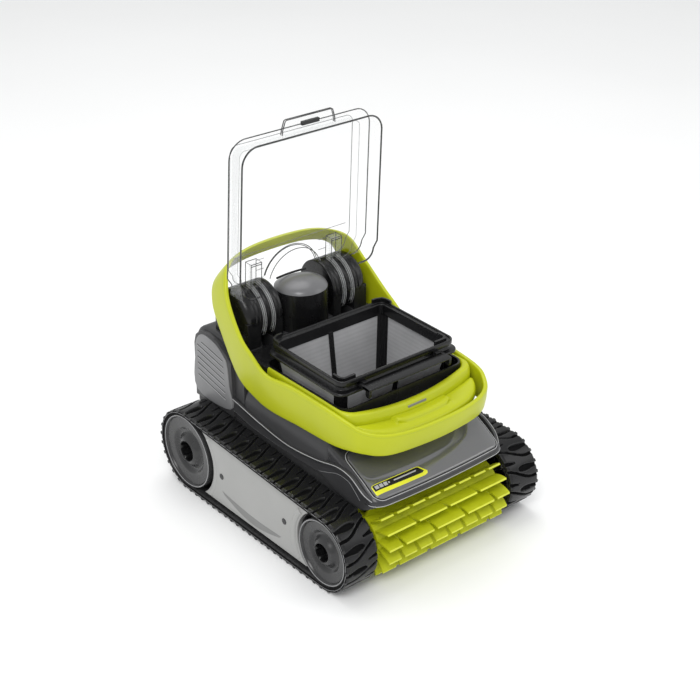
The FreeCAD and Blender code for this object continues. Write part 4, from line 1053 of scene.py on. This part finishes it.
def hood_panel():
    """Glossy panel with a black line round it that is painted shade in the gap, and a light line round it
    that is a painted highlight.
    """
    bm = bmesh.new()
    draped(bm, densify(rounded(105.0, -191.4, -120.0, 11.0)), 1.3, -0.5, rings=16)
    obj = piece("hood_insert", bm, HOOD_GLOSS, smooth=50)
    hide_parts("hood_panel")
    # Light ring round the panel: painted highlight.
    ring = [on_hood(x, y, 0.25) for x, y in densify(rounded(107.0, -193.2, -118.0, 13.0))]
    line = wire("hood_insert_highlight", [ring], 0.5, HIGHLIGHT_AND_PRINT_GREY, closed=True)
    # Black ring in the gap round the panel: painted shade.
    ring = [on_hood(x, y, 0.3) for x, y in densify(rounded(105.7, -192.1, -119.4, 11.6))]
    line = wire("hood_insert_gap_shade", [ring], 0.45, BLACK_AND_SHADE, closed=True)


PLAQUE = ((-103.0, -184.2), (-101.6, -185.6), (-24.0, -185.6), (-19.6, -184.4), (-17.8, -181.8),
          (-25.4, -173.8), (-28.6, -172.6), (-101.6, -172.6), (-103.0, -174.0))
PLAQUE_FIELD = ((-101.9, -180.9), (-26.0, -182.2), (-22.6, -180.6), (-27.4, -174.6), (-29.4, -173.7),
                (-101.9, -173.7))
PLAQUE_CELLS = (-99.4, -92.6, -85.8)


def hood_plaque():
    """Yellow plaque with a black field, three battery cells, a terminal and a bar; no lettering."""
    bm = bmesh.new()
    draped(bm, densify(PLAQUE, 2.0), 2.3, 1.0, 0)
    draped(bm, densify(PLAQUE_FIELD, 2.0), 2.75, 2.0, 1)
    marks = [((x, -179.4), (x + 5.4, -179.4), (x + 5.4, -175.2), (x, -175.2)) for x in PLAQUE_CELLS]
    marks.append(((-78.8, -178.2), (-76.4, -178.2), (-76.4, -176.4), (-78.8, -176.4)))
    marks.append(((-70.0, -178.0), (-34.0, -178.0), (-32.6, -176.6), (-70.0, -176.6)))
    for mark in marks:
        draped(bm, densify(mark, 2.0), 3.1, 2.6, 2, 3)
    badge = piece("hood_plaque", bm, [BADGE_YELLOW, BLACK_AND_SHADE, HIGHLIGHT_AND_PRINT_GREY], smooth=40)
    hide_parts("hood_badge")


body_shell()
for where in SIDES:
    fender(where)
hood()
hood_panel()
hood_plaque()


# ---- rear housing ----
HOUSE_FRONT, HOUSE_FOOT, HOUSE_TOP = 84.0, 118.0, 230.0
CLAW_FLOOR = 210.0
CLAW_BACK = 141.0
HOUSE_BULGE = ((104, 118), (106, 200), (116, 209), (137, 222), (160, 225.6), (176, 224), (188, 214),
               (192.4, 200), (193, 118))


def house_outline(inset):
    """Side view, with the back top corner rounded."""
    points = [(HOUSE_FRONT + k * 5, HOUSE_FOOT) for k in range(21)]
    points += [(192.0 - inset, HOUSE_FOOT), (195.0 - inset, 124.0)]
    points += arc(169.0, 204.0, 26.0 - inset, 0, 90, 12)
    return points + [(blend(160.0, HOUSE_FRONT, k / 12), HOUSE_TOP - inset) for k in range(13)]


def rear_housing():
    """Block between the tracks, sunk where the lid's claws turn, with a bulge behind each vent."""
    bm = bmesh.new()
    half = [(40.0, 0.0), (58.9, 0.0), (59.0, 0.0), (79.0, 0.0), (79.1, 0.0), (105.0, 0.0), (108.2, 0.6),
            (110.2, 2.0), (111.2, 4.0), (111.4, 6.0)]
    rings = []
    for x, inset in [(-x, inset) for x, inset in half[::-1]] + half:
        roof = CLAW_FLOOR if 59.0 <= abs(x) <= 79.0 else HOUSE_TOP
        rings.append([(x, y, min(z, roof if y < CLAW_BACK else z)) for y, z in house_outline(inset)])
    tube(bm, rings)
    for side in SIDES.values():
        levels = [[(side * x, y, z) for y, z in HOUSE_BULGE] for x in (110.0, 116.4)]
        levels.append([(side * 117.0, blend(148, y, 0.97), blend(170, z, 0.98)) for y, z in HOUSE_BULGE])
        tube(bm, levels)
    obj = piece("house", bm, DARK_AND_SHADE, smooth=40)
    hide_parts("rear_housing")


VENT_OUTLINE = ((109, 128), (110.5, 165), (114, 196), (122, 206), (137, 216), (158, 221), (172, 220),
                (182, 213), (187.5, 202), (189, 190), (189, 128))
VENT_SLOTS = 7
VENT_TOP = 208.0


def rear_vent(name):
    sign = SIDES[name]
    curve = smooth_curve([(0, y, z) for y, z in VENT_OUTLINE], 5)
    bm = bmesh.new()
    levels = []
    for x, scale in ((112.0, 1.0), (117.0, 1.0), (117.9, 0.988), (118.2, 0.965), (118.2, 0.5), (118.2, 0.01)):
        levels.append([(sign * x, blend(149, p.y, scale), blend(170, p.z, scale)) for p in curve])
    tube(bm, levels)
    obj = piece("vent_cover_" + name, bm, VENT_GREY_AND_HIGHLIGHT, smooth=35)
    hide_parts("rear_vent_" + name)
    # Dark lines in the vent's slots are painted shade; the light lines just below them are painted highlights
    # on the ridges.
    grooves, ridges = [], []
    for k in range(VENT_SLOTS):
        start = Vector((sign * 118.05, 119 + 0.6 * k, 141 + 9.6 * k))
        end = Vector((start.x, 182.5, start.z + 13.0 - 0.2 * k))
        if end.z > VENT_TOP:
            end.yz = 172.0, VENT_TOP
        grooves.append([start, (start + end) / 2, end])
        ridges.append([p + Vector((sign * 0.3, 0, -1.2)) for p in grooves[-1]])
    dark = wire("vent_groove_shade_" + name, grooves, 0.75, DARK_AND_SHADE)
    light = wire("vent_ridge_highlight_" + name, ridges, 0.45, HIGHLIGHT_AND_PRINT_GREY)


rear_housing()
for where in SIDES:
    rear_vent(where)


# ---- hinge saddles, outlet tower and its cap ----
LID_Y, LID_Z = 120.0, 263.0
SADDLE_R = 38.0
TOWER_Y = 99.0
TOWER_TOP = 286.0


def saddle(name):
    sign = SIDES[name]
    bm = bmesh.new()
    profile = [(44.0, 4.0), (44.0, SADDLE_R - 1.4), (44.6, SADDLE_R - 0.4), (45.4, SADDLE_R)]
    for x0 in (49.0, 55.0, 67.0, 81.0, 87.0):
        profile += [(x0 + dx, SADDLE_R - dip) for dx, dip in ((0, 0), (0.6, 1.2), (1.6, 1.2), (2.2, 0))]
    profile += arc(93.0, SADDLE_R - 11.0, 11.0, 90, 0, 8) + [(104.0, 4.0)]
    lathe_x(bm, profile, LID_Y, LID_Z, 112, 0, sign)
    for x0, x1 in ((44.5, 57.0), (81.0, 103.0)):
        feet = [(82.4, 263.0), (82.4, 226.0), (86.0, 222.4), (154.0, 222.4), (157.6, 226.0), (157.6, 263.0)]
        prism(bm, feet, "x", sign * x0, sign * x1)
    obj = piece("barrel_" + name, bm, BLACK_AND_SHADE, smooth=35, bevel=0.5)
    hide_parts("hinge_saddle_" + name)


def outlet_cap():
    """Dome cut by a slanting edge over the slot at its back."""
    bm = bmesh.new()
    rings = []
    for k in range(14):
        a = math.pi / 2 * k / 14
        ring = []
        for x, y in arc(0.0, 0.0, 36.6 * math.cos(a) if k else 37.0, 0, 360, 96)[:-1]:
            slant = 9.0 * max(0.0, (y + 8) / 45.0) ** 2
            ring.append((x, TOWER_Y + y, TOWER_TOP + 15.0 * math.sin(a) ** 1.15 - slant * math.sin(a)))
        rings.append(ring)
    tube(bm, rings)
    obj = piece("dome", bm, DOME, smooth=45, bevel=0.4)
    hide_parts("outlet_cap")
    slit = [(blend(-25.0, 25.0, k / 10), TOWER_Y + 21.0 + 2.0 * math.sin(math.pi * k / 10), 296.0)
            for k in range(11)]
    line = wire("dome_slit", [slit], 1.6, BLACK_AND_SHADE, sides=8)


for where in SIDES:
    saddle(where)
outlet_cap()


# ---- clear lid: its moulding's edges as painted lines: dark refraction and reflection, light highlights ----
LID_SIDE = ((112.0, 304.0), (118.5, 330.0), (116.0, 490.0))
LID_BACK = 125.0
LID_SHOULDER = 107.0
LID_EDGE = 80.0
LID_TOP = 520.0
LID_CORNER = 26.0


def leant(p):
    """The lid leans back a little past upright."""
    return leaned(p, LID_Y, LID_Z, math.radians(3.5))


def lid_outline(inset):
    """The moulding's outline, open along the bottom."""
    low, waist, top = LID_SIDE
    side = low[0] - inset
    right = [(side - 26.0, low[1])] + arc(side - 16.0, low[1] + 16.0, 16.0, -90, 0, 8)
    right += [(waist[0] - inset, waist[1])]
    right += arc(top[0] - LID_CORNER, LID_TOP - LID_CORNER, LID_CORNER - inset, 0, 90, 14)
    return right + [(-x, z) for x, z in right[::-1]]


def on_lid(y, points):
    return [leant((x, y, z)) for x, z in points]


def lid_loop(inset, y):
    return on_lid(y, lid_outline(inset))


def lid_arches():
    """Edges of the arch that clears the outlet tower."""
    return [on_lid(y, arc(0.0, 292.0, r, 16, 164, 40))
            for r, y in ((44.9, LID_BACK - 0.4), (47.0, LID_BACK - 1.0), (44.9, LID_BACK - 11.6))]


def lid_tab():
    half = ((43, 517.6), (42.4, 524), (38.6, 536), (36.4, 537.0))
    outline = [(-x, z) for x, z in half] + list(half[::-1])
    return [on_lid(y, outline) for y in (92.0, 95.0)]


def lid_rungs():
    """Short lines beside the arch and one long line above it."""
    rungs = []
    for x0, x1 in ((-60.0, -47.0), (47.0, 60.0)):
        rungs += [on_lid(LID_BACK - 2.6, [(x0, z), (x1, z)]) for z in (304.6, 318.0, 333.0)]
    return rungs + [on_lid(LID_BACK - 0.4, [(x, 345.0) for x in (-96.0, 0.0, 96.0)])]


def lid_knuckles():
    """Boxes that join each pair of claws to the lid."""
    boxes = []
    for side in SIDES.values():
        for x in (60.0, 77.5):
            boxes.append([leant((side * x, y, z))
                          for y, z in ((109.8, 300.0), (109.8, 336.0), (122.4, 336.0), (122.4, 300.0))])
        for y, z in ((109.8, 336.0), (122.4, 336.0), (109.8, 333.0), (109.8, 303.0)):
            boxes.append([leant((side * x, y, z)) for x in (60.0, 77.5)])
    return boxes


def lid_claws():
    """Inner and outer edges of the claws that hook round the saddles."""
    return [[leant((side * x, y, z)) for y, z in arc(LID_Y, LID_Z, r, 90, 208, 24)]
            for side in SIDES.values() for x in (60.0, 63.0, 74.5, 77.5) for r in (38.6, 42.5)]


LID_LINES = {"lid_free_edge": ([lid_loop(1.5, LID_EDGE)], 1.25, LID_EDGE_DARK_REFLECTION),
             "lid_shoulder": ([lid_loop(0.4, LID_SHOULDER - 0.4)], 0.85, LID_EDGE_DARK_REFLECTION),
             "lid_step": ([lid_loop(15.0, LID_BACK - 0.4)], 0.5, LID_REFLECTION_LINE),
             "lid_step_foot": ([lid_loop(17.0, LID_SHOULDER + 0.2)], 0.3, LID_REFLECTION_LINE),
             "lid_arch": (lid_arches(), 0.6, LID_EDGE_DARK_REFLECTION), "lid_tab_line": (lid_tab(), 0.75, LID_EDGE_DARK_REFLECTION),
             "lid_lower_lines": (lid_rungs(), 0.4, LID_REFLECTION_LINE),
             "lid_knuckle_lines": (lid_knuckles(), 0.55, LID_EDGE_DARK_REFLECTION),
             "lid_finger_lines": (lid_claws(), 0.3, LID_GLINT)}
for name, (paths, radius, material) in LID_LINES.items():
    line = wire(name, paths, radius, material, body="lid")


# ---- brush ----
BRUSH_Y, BRUSH_Z = -157.0, 56.0
BRUSH_HALF = 107.4
BRUSH_TUBE = 32.0
BRUSH_TIP = 54.3
BRUSH_ROWS = 16
PADDLE_ROOT = 31.0
PADDLE_PITCH = 53.7
PADDLE_GAP = 3.4
PADDLE_HALF = (1.5, 1.3, 1.2, 1.1, 1.1, 1.1)
TIP_STRIP = ((-0.6, -1.35), (0.25, -1.2), (0.25, 1.2), (-0.6, 1.35))


def paddle(bm, tips, turn, x0, x1):
    """One flap that leans back towards its tip, with a light strip along its edge."""
    spine = [(blend(PADDLE_ROOT, BRUSH_TIP, j / 5), turn + 0.17 * (j / 5) ** 1.3) for j in range(6)]
    faces = [(1, j) for j in range(6)] + [(-1, j) for j in range(5, -1, -1)]
    ends = []
    for x, inward in ((x0, 1), (x1, -1)):
        ring = []
        for face, j in faces:
            r, a = spine[j]
            pull = 1.4 * (j / 5) ** 2 * inward
            ring.append((x + pull, *polar(BRUSH_Y, BRUSH_Z, r, a + face * PADDLE_HALF[j] / r)))
        ends.append(ring)
    tube(bm, ends)
    r, a = spine[-1]
    tube(tips, [[(x, *polar(BRUSH_Y, BRUSH_Z, r + out, a + along / r)) for out, along in TIP_STRIP]
                for x in (x0 + 1.6, x1 - 1.6)])


def brush():
    """Rows of flaps round a tube; every third row has flaps of half the length."""
    bm, tips = bmesh.new(), bmesh.new()
    half = ((BRUSH_HALF - 0.8, BRUSH_TUBE), (BRUSH_HALF, BRUSH_TUBE - 1.0), (BRUSH_HALF, 22.6),
            (BRUSH_HALF - 1.0, 22.0))
    lathe_x(bm, [(-x, r) for x, r in half[::-1]] + list(half), BRUSH_Y, BRUSH_Z, 64)
    for row in range(BRUSH_ROWS):
        turn = 2 * math.pi * (row + 0.35) / BRUSH_ROWS
        span = PADDLE_PITCH / 2 if row % 3 == 2 else PADDLE_PITCH
        shift = row % 2 * PADDLE_PITCH / 2
        for k in range(-6, 6):
            x0 = max(-BRUSH_HALF, k * span + shift + PADDLE_GAP / 2)
            x1 = min(BRUSH_HALF, (k + 1) * span + shift - PADDLE_GAP / 2)
            if x1 - x0 >= 8:
                paddle(bm, tips, turn, x0, x1)
    obj = piece("brush_paddles", bm, BRUSH, body="brush", smooth=40)
    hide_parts("brush_sleeve")
    line = piece("brush_tips", tips, BRUSH_TIP_MAT, body="brush", smooth=40)


brush()


# ---- CAD nodes that keep their shape ----
# node: (material, width of its rounded edges)
KEPT = {"chassis_tub": (DARK_AND_SHADE, 1.2), "inlet_duct": (DARK_AND_SHADE, 0.5), "inlet_flap": (BLACK_AND_SHADE, 0.3),
        "battery_pack": (BATTERY, 0.8), "control_board": (BOARD, 0.2), "pump_motor": (CAN, 0.6),
        "impeller": (WHITE, 0.3), "power_button": (LIME, 0.8), "charge_port": (BLACK_AND_SHADE, 0.4),
        "charge_port_cap": (BLACK_AND_SHADE, 0.5), "basket_well": (BLACK_AND_SHADE, 0.8), "outlet_tower": (BLACK_AND_SHADE, 0.8),
        "basket_door": (BLACK_AND_SHADE, 0.5), "brush_core": (BLACK_AND_SHADE, 0.5), "brush_pin": (STEEL, 0.3),
        "brush_motor": (CAN, 0.4), "side_plate_screws": (STEEL, 0.2), "wheel_axles": (STEEL, 0.3),
        "axle_clips": (STEEL, 0.2), "lid_claws": (CLEAR_WALL, 0.3), "lid_catch": (BLACK_AND_SHADE, 0.4),
        "lid_shell": (CLEAR, 0.0)}
for where in SIDES:
    KEPT.update({"drive_gear_" + where: (WHITE, 0.2), "motor_pinion_" + where: (STEEL, 0.1),
                 "drive_motor_" + where: (CAN, 0.4), "track_frame_" + where: (DARK_AND_SHADE, 0.8)})
for node, (material, width) in KEPT.items():
    soften(node, material, width)


# ---- stage, camera and light ----
FLOOR_HALF = 6.0
FLOOR_Z = -0.2 * MM


def stage_floor():
    bm = bmesh.new()
    for x, y in ((-FLOOR_HALF, -FLOOR_HALF), (FLOOR_HALF, -FLOOR_HALF), (FLOOR_HALF, FLOOR_HALF),
                 (-FLOOR_HALF, FLOOR_HALF)):
        bm.verts.new((x, y, FLOOR_Z))
    bm.faces.new(bm.verts)
    mesh = bpy.data.meshes.new("floor")
    bm.to_mesh(mesh)
    bm.free()
    floor = bpy.data.objects.new("floor", mesh)
    bpy.context.scene.collection.objects.link(floor)
    look = Look("floor_paper")
    paper = look.ramp(look.noise(1.5, 3.0), (0.2, (0.93, 0.93, 0.93)), (0.8, (0.96, 0.96, 0.96)))
    mesh.materials.append(look.finish(base_color=paper, roughness=0.8))


def area_light(name, place, target, size, power):
    data = bpy.data.lights.new(name, "AREA")
    data.shape = "DISK"
    data.size = size
    data.energy = power
    light = bpy.data.objects.new(name, data)
    light.location = place
    light.rotation_euler = (Vector(target) - Vector(place)).to_track_quat("-Z", "Y").to_euler()
    bpy.context.scene.collection.objects.link(light)


CAMERA_PLACE = (-1.1235, -1.3557, 1.1532)
CAMERA_AZIMUTH = -39.77
CAMERA_ELEVATION = 27.78
CAMERA_LENS = 76.53


def camera():
    data = bpy.data.cameras.new("camera")
    data.lens = CAMERA_LENS
    data.sensor_width = 36.0
    cam = bpy.data.objects.new("camera", data)
    a, e = math.radians(CAMERA_AZIMUTH), math.radians(CAMERA_ELEVATION)
    back = Vector((math.sin(a) * math.cos(e), -math.cos(a) * math.cos(e), math.sin(e)))
    right = Vector((0, 0, 1)).cross(back).normalized()
    up = back.cross(right)
    cam.matrix_world = Matrix.Translation(CAMERA_PLACE) @ Matrix((right, up, back)).transposed().to_4x4()
    bpy.context.scene.collection.objects.link(cam)
    bpy.context.scene.camera = cam


stage_floor()
camera()
area_light("key", (-1.5, -1.3, 2.4), (0, 0, 0.2), 1.3, 30)
area_light("fill", (1.8, -1.6, 1.5), (0, 0, 0.2), 1.6, 8)
area_light("top", (0.3, 0.9, 2.6), (0, 0, 0.2), 2.0, 22)
world = bpy.data.worlds.new("studio")
world.use_nodes = True
world.node_tree.nodes["Background"].inputs["Color"].default_value = (0.97, 0.98, 0.98, 1.0)
world.node_tree.nodes["Background"].inputs["Strength"].default_value = 0.75
bpy.context.scene.world = world
bpy.context.scene.view_settings.view_transform = "Standard"
